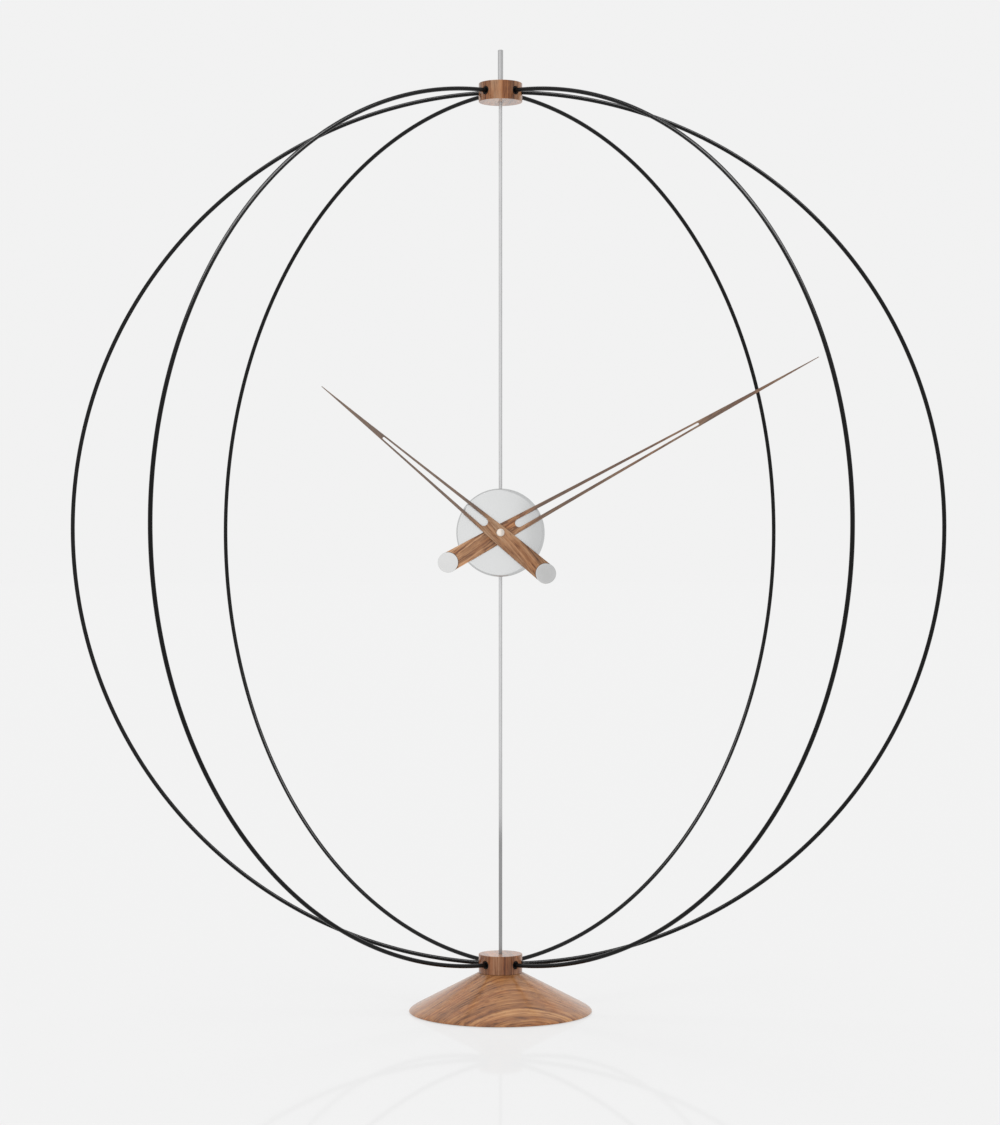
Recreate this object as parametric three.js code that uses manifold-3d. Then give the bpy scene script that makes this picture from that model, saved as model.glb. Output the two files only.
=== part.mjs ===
// Floor clock: three walnut turnings, a steel centre rod, six half hoops that make three open
// rings round it, and a round metal case that carries two long walnut hands.
// Millimetres, +Z up. The origin is on the rod's axis at floor level, and the clock faces -Y.
// Angles in the dial plane are counted from +X towards +Z, as seen from the front.

import * as THREE from 'three';
import { mergeVertices } from 'three/addons/utils/BufferGeometryUtils.js';
import Module from 'manifold-3d';

// Clearances
const SEAT_GAP = 0.05;
const FIT_GAP = 0.3;
const RUNNING_GAP = 0.4;

// Facets
const FACETS_LARGE = 40;
const FACETS_MEDIUM = 24;
const FACETS_SMALL = 12;
const FACETS_OUTLINE = 8;
const HOOP_SIDES = 8;
const HOOP_STEPS = 42;
const RIM_STEPS = 3;
const MERGE_DISTANCE = 1e-4;

// Hoops: each plane stands at an angle from +X and holds two half hoops
const HOOP_HALF_WIDTH = 500;
const HOOP_HALF_HEIGHT = 497;
const HOOP_ROD_DIAMETER = 4.8;
const HOOP_PLANES = [
  { angle: -6.1, sides: ['right', 'left'] },
  { angle: 45.5, sides: ['back_right', 'front_left'] },
  { angle: 134.8, sides: ['back_left', 'front_right'] },
];

// Collars and the sockets in them
const COLLAR_DIAMETER = 49.8;
const COLLAR_HEIGHT = 21.2;
const COLLAR_CHAMFER = 0.6;
const SOCKET_DIAMETER = 9.4;
const SOCKET_DEPTH = 9;
const BUSH_RECESS = 0.6;
const INSERT_DIAMETER = 10;
const INSERT_HEIGHT = 9;

// Base
const CONE_HEIGHT = 45;
const BASE_DIAMETER = 208.6;
const RIM_CORNER_HEIGHT = 3.2;
const RIM_ROUNDING = 10;
const RIM_FLOOR_GAP = 1;
const RIM_FOOT_CHAMFER = 0.4;
const BALLAST_DIAMETER = 139;
const BALLAST_THICKNESS = 12;
const BALLAST_BORE = 22;
const BALLAST_SCREW_CIRCLE = 104;
const BALLAST_SCREW_COUNT = 3;
const BALLAST_SCREW_DIAMETER = 4;
const BALLAST_SCREW_HEAD = 8;
const BALLAST_SCREW_HEAD_HEIGHT = 2.6;
const BALLAST_SCREW_BITE = 6;
const FOOT_PAD_DIAMETER = 193;
const FOOT_PAD_THICKNESS = 2;

// Centre rod, its fixings and the finial
const ROD_DIAMETER = 4;
const ROD_NUT_WIDTH = 7;
const ROD_NUT_THICKNESS = 3.2;
const ROD_WASHER_DIAMETER = 12;
const ROD_WASHER_THICKNESS = 1;
const ROD_END_BELOW_NUT = 1.5;
const ROD_END_IN_FINIAL = 10;
const FINIAL_DIAMETER = 6;
const FINIAL_LENGTH = 38.3;
const FINIAL_EDGE = 0.8;

// Case: HUB_HEIGHT is where the hands turn
const HUB_HEIGHT = 546.2;
const DRUM_DIAMETER = 100;
const DRUM_DEPTH = 44;
const DRUM_REACH = 30;
const DRUM_WALL = 2;
const DRUM_EDGE_RADIUS = 3.5;
const COVER_THICKNESS = 2;
const COVER_SKIRT_DEPTH = 6;
const COVER_SKIRT_WALL = 1.5;
const CLAMP_WIDTH = 12;
const CLAMP_HEIGHT = 12;
const CLAMP_WALL_SPACE = 2;
const CLAMP_BEHIND_ROD = 6;
const CLAMP_SCREW_DIAMETER = 4;
const CLAMP_SCREW_SOCKET = 2;
const CLAMP_SCREW_SOCKET_DEPTH = 1.6;

// Movement
const MOVEMENT_WIDTH = 56;
const MOVEMENT_DEPTH = 18;
const MOVEMENT_WALL = 1.6;
const MOVEMENT_CORNER = 4;
const MOVEMENT_COVER_THICKNESS = 1.5;
const MOUNT_BUSH_DIAMETER = 8;
const MOUNT_NUT_WIDTH = 12;
const MOUNT_NUT_THICKNESS = 2.4;
const BOARD_WIDTH = 21;
const BOARD_HEIGHT = 50;
const BOARD_THICKNESS = 1.2;
const COIL_DIAMETER = 4.4;
const COIL_LENGTH = 24;
const COIL_FLANGE = 1.2;
const COIL_WINDING_DIAMETER = 3.6;

// Cell and cradle: a common cylindrical 1.5 V cell
const CELL_DIAMETER = 14.5;
const CELL_LENGTH = 50.5;
const CELL_NUB_DIAMETER = 5.5;
const CELL_NUB_LENGTH = 1;
const CELL_OFFSET = 27;
const CRADLE_WALL = 1.6;
const CRADLE_WIDTH = 16;
const CRADLE_END_DEPTH = 12;
const CONTACT_THICKNESS = 0.6;
const CONTACT_WIDTH = 9;
const CONTACT_DEPTH = 10;

// Motion work: one step of 3 from the minute pinion, then one step of 4 to the hour wheel
const GEAR_CENTRES = 16;
const MINUTE_PINION_TEETH = 12;
const MOTION_WHEEL_TEETH = 36;
const MOTION_PINION_TEETH = 10;
const HOUR_WHEEL_TEETH = 40;
const SET_PINION_TEETH = 12;
const MOTION_DIRECTION = -45;
const SET_DIRECTION = 60;
const WHEEL_THICKNESS = 1.6;
const PINION_THICKNESS = 3.2;
const GEAR_SPACE = 0.8;
const ADDENDUM = 0.75;
const DEDENDUM = 1.2;
const TOOTH_HALF_AT_ROOT = 0.27;
const TOOTH_HALF_AT_TIP = 0.1;
const POST_DIAMETER = 2;
const HOUR_ARBOR_DIAMETER = 3;
const PIPE_WALL = 1;
const FLANGE_DIAMETER = 14;
const FLANGE_THICKNESS = 1.5;
const SET_STEM_DIAMETER = 3;
const SET_PIVOT_DEPTH = 1;
const SET_KNOB_DIAMETER = 12;
const SET_KNOB_LENGTH = 11;
const SET_KNOB_RIBS = 12;
const SET_KNOB_RIB_DEPTH = 0.6;
const SET_KNOB_PROUD = 6;
const KNOB_HOLE_GAP = 1;

// Hands: lengths from the hub, and half widths across the blade. The blade's middle line passes
// the hub at the offset, counted to the left of the way to the tip.
const HAND_THICKNESS = 4.4;
const TONGUE_THICKNESS = 1.6;
const WEIGHT_DIAMETER = 23;
const WEIGHT_PROUD = 0.5;
const WEIGHT_EDGE = 0.4;
const WEIGHT_SCREW_DIAMETER = 2.4;
const WEIGHT_SCREW_HEAD = 4.4;
const WEIGHT_SCREW_HEAD_HEIGHT = 0.7;
const WEIGHT_SCREW_BITE = 2;
const CAP_DIAMETER = 9.6;
const CAP_HEIGHT = 2.4;
const ARBOR_END_IN_CAP = 0.8;
const MINUTE_HAND = {
  angle: 29,
  offset: -0.7,
  reach: 409.5,
  tail: 68,
  hubHalfWidth: 9.9,
  tailHalfWidth: 11.3,
  middleHalfWidth: 3.63,
  tipHalfWidth: 0.4,
  slotStart: 18.9,
  slotEnd: 255,
  slotStartHalfWidth: 4.6,
  slotEndHalfWidth: 1.2,
};
const HOUR_HAND = {
  angle: 140.15,
  offset: 2.7,
  reach: 259.5,
  tail: 68.7,
  hubHalfWidth: 10,
  tailHalfWidth: 11.3,
  middleHalfWidth: 3.94,
  tipHalfWidth: 0.4,
  slotStart: 17.4,
  slotEnd: 170,
  slotStartHalfWidth: 4.8,
  slotEndHalfWidth: 1.3,
};

// Radii used by several pieces
const COLLAR_RADIUS = COLLAR_DIAMETER / 2;
const HOOP_ROD_RADIUS = HOOP_ROD_DIAMETER / 2;
const ROD_RADIUS = ROD_DIAMETER / 2;
const ROD_BORE = ROD_RADIUS + FIT_GAP;
const DRUM_RADIUS = DRUM_DIAMETER / 2;
const WEIGHT_RADIUS = WEIGHT_DIAMETER / 2;
const ARBOR_RADIUS = HOUR_ARBOR_DIAMETER / 2;
const PIPE_BORE = ARBOR_RADIUS + FIT_GAP;
const PIPE_RADIUS = PIPE_BORE + PIPE_WALL;
const MOUNT_BUSH_RADIUS = MOUNT_BUSH_DIAMETER / 2;

// Heights, from the floor up
const HOOP_END_DROP = HOOP_HALF_HEIGHT * Math.sqrt(1 - (COLLAR_RADIUS / HOOP_HALF_WIDTH) ** 2);
const LOWER_COLLAR_CENTRE = CONE_HEIGHT + SEAT_GAP + COLLAR_HEIGHT / 2;
const HOOP_CENTRE = LOWER_COLLAR_CENTRE + HOOP_END_DROP;
const UPPER_COLLAR_CENTRE = HOOP_CENTRE + HOOP_END_DROP;
const FINIAL_BOTTOM = UPPER_COLLAR_CENTRE + COLLAR_HEIGHT / 2 + SEAT_GAP;
const BALLAST_BOTTOM = FOOT_PAD_THICKNESS + SEAT_GAP;
const RECESS_CEILING = BALLAST_BOTTOM + BALLAST_THICKNESS + SEAT_GAP;
const ROD_WASHER_BOTTOM = RECESS_CEILING - SEAT_GAP - ROD_WASHER_THICKNESS;
const ROD_NUT_BOTTOM = ROD_WASHER_BOTTOM - SEAT_GAP - ROD_NUT_THICKNESS;
const ROD_BOTTOM = ROD_NUT_BOTTOM - ROD_END_BELOW_NUT;
const ROD_TOP = FINIAL_BOTTOM + ROD_END_IN_FINIAL;

// Depths along Y, from the case's face towards the front
const DRUM_FACE = -DRUM_REACH;
const DRUM_BACK = DRUM_FACE + DRUM_DEPTH;
const NUT_FRONT = DRUM_FACE - SEAT_GAP - MOUNT_NUT_THICKNESS;
const MINUTE_FLANGE_BACK = NUT_FRONT - RUNNING_GAP;
const MINUTE_HAND_BACK = MINUTE_FLANGE_BACK - FLANGE_THICKNESS - SEAT_GAP;
const MINUTE_HAND_FRONT = MINUTE_HAND_BACK - HAND_THICKNESS;
const HOUR_FLANGE_BACK = MINUTE_HAND_FRONT - WEIGHT_PROUD - RUNNING_GAP;
const HOUR_HAND_BACK = HOUR_FLANGE_BACK - FLANGE_THICKNESS - SEAT_GAP;
const HOUR_HAND_FRONT = HOUR_HAND_BACK - HAND_THICKNESS;
const CAP_BACK = HOUR_HAND_FRONT - SEAT_GAP;
const ARBOR_FRONT = CAP_BACK - ARBOR_END_IN_CAP;

// Depths along Y, from the case's face towards the back
const CASE_FRONT = DRUM_FACE + DRUM_WALL + SEAT_GAP;
const CASE_BACK = CASE_FRONT + MOVEMENT_DEPTH;
const CASE_FLOOR = CASE_FRONT + MOVEMENT_WALL;
const MINUTE_PINION_FRONT = CASE_FLOOR + RUNNING_GAP;
const MINUTE_PINION_BACK = MINUTE_PINION_FRONT + PINION_THICKNESS;
const MOTION_WHEEL_FRONT = MINUTE_PINION_FRONT + (PINION_THICKNESS - WHEEL_THICKNESS) / 2;
const MOTION_PINION_FRONT = MINUTE_PINION_BACK + GEAR_SPACE;
const MOTION_PINION_BACK = MOTION_PINION_FRONT + PINION_THICKNESS;
const HOUR_WHEEL_FRONT = MOTION_PINION_FRONT + (PINION_THICKNESS - WHEEL_THICKNESS) / 2;
const BOARD_FRONT = MOTION_PINION_BACK + GEAR_SPACE;
const BOARD_BACK = BOARD_FRONT + BOARD_THICKNESS;
const MOVEMENT_COVER_FRONT = CASE_BACK + SEAT_GAP;
const MOVEMENT_COVER_BACK = MOVEMENT_COVER_FRONT + MOVEMENT_COVER_THICKNESS;
const CRADLE_FRONT = MOVEMENT_COVER_BACK + SEAT_GAP;
const CRADLE_FLOOR = CRADLE_FRONT + CRADLE_WALL;
const CELL_CENTRE_DEPTH = CRADLE_FLOOR + SEAT_GAP + CELL_DIAMETER / 2;
const COVER_FRONT = DRUM_BACK - COVER_THICKNESS;
const SET_KNOB_BACK = DRUM_BACK + SET_KNOB_PROUD;
const SET_KNOB_FRONT = SET_KNOB_BACK - SET_KNOB_LENGTH;

// Gear places in the dial plane, from the hub
const MINUTE_MODULE = 2 * GEAR_CENTRES / (MINUTE_PINION_TEETH + MOTION_WHEEL_TEETH);
const HOUR_MODULE = 2 * GEAR_CENTRES / (MOTION_PINION_TEETH + HOUR_WHEEL_TEETH);
const SET_CENTRES = MINUTE_MODULE * (SET_PINION_TEETH + MOTION_WHEEL_TEETH) / 2;
const MOTION_PLACE = polar(GEAR_CENTRES, radians(MOTION_DIRECTION));
const SET_PLACE = polar(SET_CENTRES, radians(SET_DIRECTION)).add(MOTION_PLACE);

// Materials
const walnut = { color: 0xa9754f, roughness: 0.45, metalness: 0 };
const fibreglass = { color: 0x1b1b1c, roughness: 0.35, metalness: 0 };
const socketPlastic = { color: 0x0d0d0d, roughness: 0.6, metalness: 0 };
const satinSteel = { color: 0xcacbcc, roughness: 0.35, metalness: 1 };
const caseMetal = { color: 0xdededf, roughness: 0.4, metalness: 0.9 };
const capMetal = { color: 0xece8e3, roughness: 0.3, metalness: 0.6 };
const brass = { color: 0xc8a455, roughness: 0.35, metalness: 1 };
const blackSteel = { color: 0x2b2b2d, roughness: 0.5, metalness: 0.8 };
const casePlastic = { color: 0x2a2a2c, roughness: 0.6, metalness: 0 };
const whitePlastic = { color: 0xe4e2dc, roughness: 0.5, metalness: 0 };
const boardGreen = { color: 0x2f6b3c, roughness: 0.6, metalness: 0 };
const copperWire = { color: 0xb06a3a, roughness: 0.4, metalness: 0.9 };
const cellJacket = { color: 0x8a8d90, roughness: 0.4, metalness: 0.4 };
const felt = { color: 0x2c2a28, roughness: 0.95, metalness: 0 };

const wasm = await Module();
wasm.setup();

// Shape helpers

function radians(degrees) {
  return degrees * Math.PI / 180;
}

function polar(radius, angle) {
  return new THREE.Vector2(radius * Math.cos(angle), radius * Math.sin(angle));
}

function toSolid(geometry) {
  const bare = geometry.clone();
  bare.deleteAttribute('normal');
  bare.deleteAttribute('uv');
  const merged = mergeVertices(bare, MERGE_DISTANCE);
  const triVerts = Uint32Array.from(merged.index.array);
  const vertProperties = merged.attributes.position.array;
  return new wasm.Manifold(new wasm.Mesh({ numProp: 3, vertProperties, triVerts }));
}

function toGeometry(solid) {
  const mesh = solid.getMesh();
  const geometry = new THREE.BufferGeometry();
  geometry.setAttribute('position', new THREE.BufferAttribute(mesh.vertProperties, 3));
  geometry.setIndex(new THREE.BufferAttribute(mesh.triVerts, 1));
  geometry.computeVertexNormals();
  return geometry;
}

function cut(geometry, tools) {
  let solid = toSolid(geometry);
  for (const tool of tools) {
    solid = solid.subtract(toSolid(tool));
  }
  return toGeometry(solid);
}

function join(parts) {
  let solid = toSolid(parts[0]);
  for (const part of parts.slice(1)) {
    solid = solid.add(toSolid(part));
  }
  return toGeometry(solid);
}

function closed(points) {
  return [...points, points[0]];
}

// A turned piece about Y; each profile point is [radius, y]
function turnedAboutY(profile, facets) {
  const points = profile.map(([radius, along]) => new THREE.Vector2(radius, along));
  return new THREE.LatheGeometry(points, facets);
}

// A turned piece about Z; each profile point is [radius, z]
function turnedAboutZ(profile, facets) {
  return turnedAboutY(profile, facets).rotateX(Math.PI / 2);
}

// A turned piece about X; each profile point is [radius, x]
function turnedAboutX(profile, facets) {
  return turnedAboutY(profile, facets).rotateZ(-Math.PI / 2);
}

function rodAlongY(radius, from, to, facets) {
  return turnedAboutY([[0, from], [radius, from], [radius, to], [0, to]], facets);
}

function rodAlongZ(radius, from, to, facets) {
  return turnedAboutZ([[0, from], [radius, from], [radius, to], [0, to]], facets);
}

function tubeProfile(inner, outer, from, to) {
  return closed([[inner, from], [outer, from], [outer, to], [inner, to]]);
}

function ringPoints(radius, count, phase = 0) {
  const points = [];
  for (let i = 0; i < count; i++) {
    points.push(polar(radius, phase + i * 2 * Math.PI / count));
  }
  return points;
}

// A flat outline in the dial plane, given depth from y = front to y = back
function plate(shape, front, back) {
  const geometry = new THREE.ExtrudeGeometry(shape, {
    depth: back - front,
    bevelEnabled: false,
    curveSegments: FACETS_OUTLINE,
  });
  return geometry.rotateX(Math.PI / 2).translate(0, back, 0);
}

// A flat outline in the floor plane, given height from z = bottom to z = top
function slab(shape, bottom, top) {
  const geometry = new THREE.ExtrudeGeometry(shape, { depth: top - bottom, bevelEnabled: false });
  return geometry.translate(0, 0, bottom);
}

function ringShape(outline, hole) {
  const shape = new THREE.Shape(outline);
  shape.holes.push(new THREE.Path(hole));
  return shape;
}

function boxBetween(low, high) {
  const size = new THREE.Vector3().subVectors(high, low);
  const centre = new THREE.Vector3().addVectors(low, high).multiplyScalar(0.5);
  return new THREE.BoxGeometry(size.x, size.y, size.z).translate(centre.x, centre.y, centre.z);
}

const clock = new THREE.Group();

function add(name, geometry, finish, parent = clock) {
  const mesh = new THREE.Mesh(geometry, new THREE.MeshStandardMaterial(finish));
  mesh.name = name;
  parent.add(mesh);
  return mesh;
}

function groupAt(x, y, z, parent = clock) {
  const group = new THREE.Group();
  group.position.set(x, y, z);
  parent.add(group);
  return group;
}

// Hoops

// One half hoop, from the upper socket out and down to the lower one. The first and last
// steps run straight and level through the sockets, and the rest follow half an ellipse.
class HoopPath extends THREE.Curve {
  getUtoTmapping(u) {
    return u;
  }

  getPoint(t) {
    const seat = COLLAR_RADIUS - SOCKET_DEPTH + FIT_GAP;
    const step = t * HOOP_STEPS;
    const fromTop = Math.min(step, HOOP_STEPS - step);
    const side = step < HOOP_STEPS / 2 ? 1 : -1;
    if (fromTop < 1) {
      const radius = THREE.MathUtils.lerp(seat, COLLAR_RADIUS, fromTop);
      return new THREE.Vector3(radius, 0, side * HOOP_END_DROP);
    }
    const start = Math.acos(COLLAR_RADIUS / HOOP_HALF_WIDTH);
    const angle = THREE.MathUtils.mapLinear(step, 1, HOOP_STEPS - 1, start, -start);
    return new THREE.Vector3(HOOP_HALF_WIDTH * Math.cos(angle), 0, HOOP_HALF_HEIGHT * Math.sin(angle));
  }
}

function hoopGeometry() {
  const section = new THREE.Shape(ringPoints(HOOP_ROD_RADIUS, HOOP_SIDES));
  return new THREE.ExtrudeGeometry(section, { steps: HOOP_STEPS, extrudePath: new HoopPath() });
}

function hoopAngles() {
  return HOOP_PLANES.flatMap(({ angle }) => [angle, angle + 180]);
}

function socketBushGeometry() {
  const outer = SOCKET_DIAMETER / 2 - FIT_GAP;
  const bore = HOOP_ROD_RADIUS + FIT_GAP;
  const from = COLLAR_RADIUS - SOCKET_DEPTH + FIT_GAP;
  return turnedAboutX(tubeProfile(bore, outer, from, COLLAR_RADIUS - BUSH_RECESS), FACETS_SMALL);
}

function addHoops() {
  const hoop = hoopGeometry();
  const bush = socketBushGeometry();
  for (const { angle, sides } of HOOP_PLANES) {
    sides.forEach((side, i) => {
      const turned = groupAt(0, 0, 0);
      turned.rotation.z = radians(angle + 180 * i);
      add(`hoop_${side}`, hoop, fibreglass, turned).position.z = HOOP_CENTRE;
      add(`upper_bush_${side}`, bush, socketPlastic, turned).position.z = UPPER_COLLAR_CENTRE;
      add(`lower_bush_${side}`, bush, socketPlastic, turned).position.z = LOWER_COLLAR_CENTRE;
    });
  }
}

// Collars, with the metal insert that each holds round the rod

function collarGeometry(insertSide) {
  const half = COLLAR_HEIGHT / 2;
  const body = turnedAboutZ(closed([
    [ROD_BORE, -half],
    [COLLAR_RADIUS - COLLAR_CHAMFER, -half],
    [COLLAR_RADIUS, -half + COLLAR_CHAMFER],
    [COLLAR_RADIUS, half - COLLAR_CHAMFER],
    [COLLAR_RADIUS - COLLAR_CHAMFER, half],
    [ROD_BORE, half],
  ]), FACETS_LARGE);
  const from = COLLAR_RADIUS - SOCKET_DEPTH;
  const to = COLLAR_RADIUS + SOCKET_DEPTH;
  const socket = [[0, from], [SOCKET_DIAMETER / 2, from], [SOCKET_DIAMETER / 2, to], [0, to]];
  const tools = hoopAngles().map((angle) => turnedAboutX(socket, FACETS_SMALL).rotateZ(radians(angle)));
  const pocketEnds = [insertSide * (half - INSERT_HEIGHT - SEAT_GAP), insertSide * (half + 1)];
  pocketEnds.sort((a, b) => a - b);
  tools.push(rodAlongZ(INSERT_DIAMETER / 2 + FIT_GAP, ...pocketEnds, FACETS_SMALL));
  return cut(body, tools);
}

function addCollars() {
  const insert = turnedAboutZ(
    tubeProfile(ROD_BORE, INSERT_DIAMETER / 2, -INSERT_HEIGHT / 2, INSERT_HEIGHT / 2),
    FACETS_SMALL,
  );
  const insertOffset = (COLLAR_HEIGHT - INSERT_HEIGHT) / 2;
  const lower = groupAt(0, 0, LOWER_COLLAR_CENTRE);
  add('lower_collar', collarGeometry(-1), walnut, lower);
  add('lower_insert', insert, brass, lower).position.z = -insertOffset;
  const upper = groupAt(0, 0, UPPER_COLLAR_CENTRE);
  add('upper_collar', collarGeometry(1), walnut, upper);
  add('upper_insert', insert, brass, upper).position.z = insertOffset;
}

// Base, with its ballast, foot pad and the fixings of the rod

function baseGeometry() {
  const outer = BASE_DIAMETER / 2;
  const foot = RIM_FLOOR_GAP + RIM_FOOT_CHAMFER;
  const recess = BALLAST_DIAMETER / 2 + FIT_GAP;
  const pad = FOOT_PAD_DIAMETER / 2 + FIT_GAP;
  const padTop = FOOT_PAD_THICKNESS + SEAT_GAP;
  const neck = new THREE.Vector2(COLLAR_RADIUS, CONE_HEIGHT);
  const corner = new THREE.Vector2(outer, RIM_CORNER_HEIGHT);
  const alongCone = new THREE.Vector2().subVectors(neck, corner).setLength(RIM_ROUNDING);
  const rim = new THREE.QuadraticBezierCurve(
    new THREE.Vector2(outer, foot),
    corner,
    new THREE.Vector2().addVectors(corner, alongCone),
  );
  const body = turnedAboutZ(closed([
    [ROD_BORE, RECESS_CEILING],
    [recess, RECESS_CEILING],
    [recess, padTop],
    [pad, padTop],
    [pad, RIM_FLOOR_GAP],
    [outer - RIM_FOOT_CHAMFER, RIM_FLOOR_GAP],
    ...rim.getPoints(RIM_STEPS).map((point) => point.toArray()),
    neck.toArray(),
    [ROD_BORE, CONE_HEIGHT],
  ]), FACETS_LARGE);
  const hole = BALLAST_SCREW_DIAMETER / 2 + FIT_GAP;
  const top = RECESS_CEILING + BALLAST_SCREW_BITE;
  return cut(body, atBallastScrews(() => rodAlongZ(hole, RECESS_CEILING - 1, top, FACETS_SMALL)));
}

function ballastScrewAngles() {
  const angles = [];
  for (let i = 0; i < BALLAST_SCREW_COUNT; i++) {
    angles.push(Math.PI / 2 + i * 2 * Math.PI / BALLAST_SCREW_COUNT);
  }
  return angles;
}

function atBallastScrews(make) {
  return ballastScrewAngles().map((angle) => {
    const place = polar(BALLAST_SCREW_CIRCLE / 2, angle);
    return make().translate(place.x, place.y, 0);
  });
}

function ballastGeometry() {
  const top = BALLAST_BOTTOM + BALLAST_THICKNESS;
  const radius = BALLAST_DIAMETER / 2;
  const body = turnedAboutZ(tubeProfile(BALLAST_BORE / 2, radius, BALLAST_BOTTOM, top), FACETS_LARGE);
  const shank = BALLAST_SCREW_DIAMETER / 2 + FIT_GAP;
  const head = BALLAST_SCREW_HEAD / 2 + FIT_GAP;
  const headTop = BALLAST_BOTTOM + BALLAST_SCREW_HEAD_HEIGHT + SEAT_GAP;
  const below = BALLAST_BOTTOM - 1;
  return cut(body, [
    ...atBallastScrews(() => rodAlongZ(shank, below, top + 1, FACETS_SMALL)),
    ...atBallastScrews(() => rodAlongZ(head, below, headTop, FACETS_SMALL)),
  ]);
}

function ballastScrewGeometry() {
  const shank = BALLAST_SCREW_DIAMETER / 2;
  const head = BALLAST_SCREW_HEAD / 2;
  const headTop = BALLAST_BOTTOM + BALLAST_SCREW_HEAD_HEIGHT;
  const end = RECESS_CEILING + BALLAST_SCREW_BITE - FIT_GAP;
  return turnedAboutZ([
    [0, BALLAST_BOTTOM],
    [head, BALLAST_BOTTOM],
    [head, headTop],
    [shank, headTop],
    [shank, end],
    [0, end],
  ], FACETS_SMALL);
}

function addBase() {
  add('base_cone', baseGeometry(), walnut);
  add('ballast_disc', ballastGeometry(), satinSteel);
  const screw = ballastScrewGeometry();
  ballastScrewAngles().forEach((angle, i) => {
    const place = polar(BALLAST_SCREW_CIRCLE / 2, angle);
    add(`ballast_screw_${i + 1}`, screw, blackSteel).position.set(place.x, place.y, 0);
  });
  const padRadius = FOOT_PAD_DIAMETER / 2;
  add('foot_pad', rodAlongZ(padRadius, 0, FOOT_PAD_THICKNESS, FACETS_LARGE), felt);
}

function addRod() {
  add('centre_rod', rodAlongZ(ROD_RADIUS, ROD_BOTTOM, ROD_TOP, FACETS_SMALL), satinSteel);
  const nut = ringShape(
    ringPoints(ROD_NUT_WIDTH / 2 / Math.cos(Math.PI / 6), 6),
    ringPoints(ROD_BORE, FACETS_SMALL),
  );
  add('rod_nut', slab(nut, ROD_NUT_BOTTOM, ROD_NUT_BOTTOM + ROD_NUT_THICKNESS), satinSteel);
  const washer = turnedAboutZ(tubeProfile(
    ROD_BORE,
    ROD_WASHER_DIAMETER / 2,
    ROD_WASHER_BOTTOM,
    ROD_WASHER_BOTTOM + ROD_WASHER_THICKNESS,
  ), FACETS_SMALL);
  add('rod_washer', washer, satinSteel);
  const radius = FINIAL_DIAMETER / 2;
  const blindEnd = ROD_END_IN_FINIAL + FIT_GAP;
  const finial = turnedAboutZ([
    [0, blindEnd],
    [ROD_BORE, blindEnd],
    [ROD_BORE, 0],
    [radius, 0],
    [radius, FINIAL_LENGTH - FINIAL_EDGE],
    [radius - FINIAL_EDGE, FINIAL_LENGTH],
    [0, FINIAL_LENGTH],
  ], FACETS_SMALL);
  add('finial', finial, satinSteel).position.z = FINIAL_BOTTOM;
}

// Round case and what holds it on the rod

function drumGeometry() {
  const edge = [];
  for (let i = 0; i <= RIM_STEPS; i++) {
    const angle = i / RIM_STEPS * Math.PI / 2;
    edge.push([
      DRUM_RADIUS - DRUM_EDGE_RADIUS * (1 - Math.sin(angle)),
      DRUM_FACE + DRUM_EDGE_RADIUS * (1 - Math.cos(angle)),
    ]);
  }
  const hub = MOUNT_BUSH_RADIUS + FIT_GAP;
  const inside = DRUM_RADIUS - DRUM_WALL;
  const insideEdge = DRUM_EDGE_RADIUS - DRUM_WALL;
  const body = turnedAboutY(closed([
    [hub, DRUM_FACE],
    ...edge,
    [DRUM_RADIUS, DRUM_BACK],
    [inside, DRUM_BACK],
    [inside, DRUM_FACE + DRUM_WALL + insideEdge],
    [inside - insideEdge, DRUM_FACE + DRUM_WALL],
    [hub, DRUM_FACE + DRUM_WALL],
  ]), FACETS_LARGE);
  return cut(body, [rodAlongZ(ROD_BORE, -DRUM_RADIUS - 1, DRUM_RADIUS + 1, FACETS_SMALL)]);
}

function clampOffset() {
  const corner = DRUM_RADIUS - DRUM_WALL - CLAMP_WALL_SPACE;
  return Math.sqrt(corner ** 2 - (CLAMP_WIDTH / 2) ** 2) - CLAMP_HEIGHT / 2;
}

function clampGeometry() {
  const block = boxBetween(
    new THREE.Vector3(-CLAMP_WIDTH / 2, CASE_FRONT, -CLAMP_HEIGHT / 2),
    new THREE.Vector3(CLAMP_WIDTH / 2, CLAMP_BEHIND_ROD, CLAMP_HEIGHT / 2),
  );
  return cut(block, [
    rodAlongZ(ROD_BORE, -CLAMP_HEIGHT, CLAMP_HEIGHT, FACETS_SMALL),
    rodAlongY(CLAMP_SCREW_DIAMETER / 2 + FIT_GAP, 0, CLAMP_BEHIND_ROD + 1, FACETS_SMALL),
  ]);
}

function clampScrewGeometry() {
  const front = ROD_RADIUS + SEAT_GAP;
  const radius = CLAMP_SCREW_DIAMETER / 2;
  const body = rodAlongY(radius, front, CLAMP_BEHIND_ROD, FACETS_SMALL);
  const hexagon = new THREE.Shape(ringPoints(CLAMP_SCREW_SOCKET / 2 / Math.cos(Math.PI / 6), 6));
  const socket = plate(hexagon, CLAMP_BEHIND_ROD - CLAMP_SCREW_SOCKET_DEPTH, CLAMP_BEHIND_ROD + 1);
  return cut(body, [socket]);
}

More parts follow.
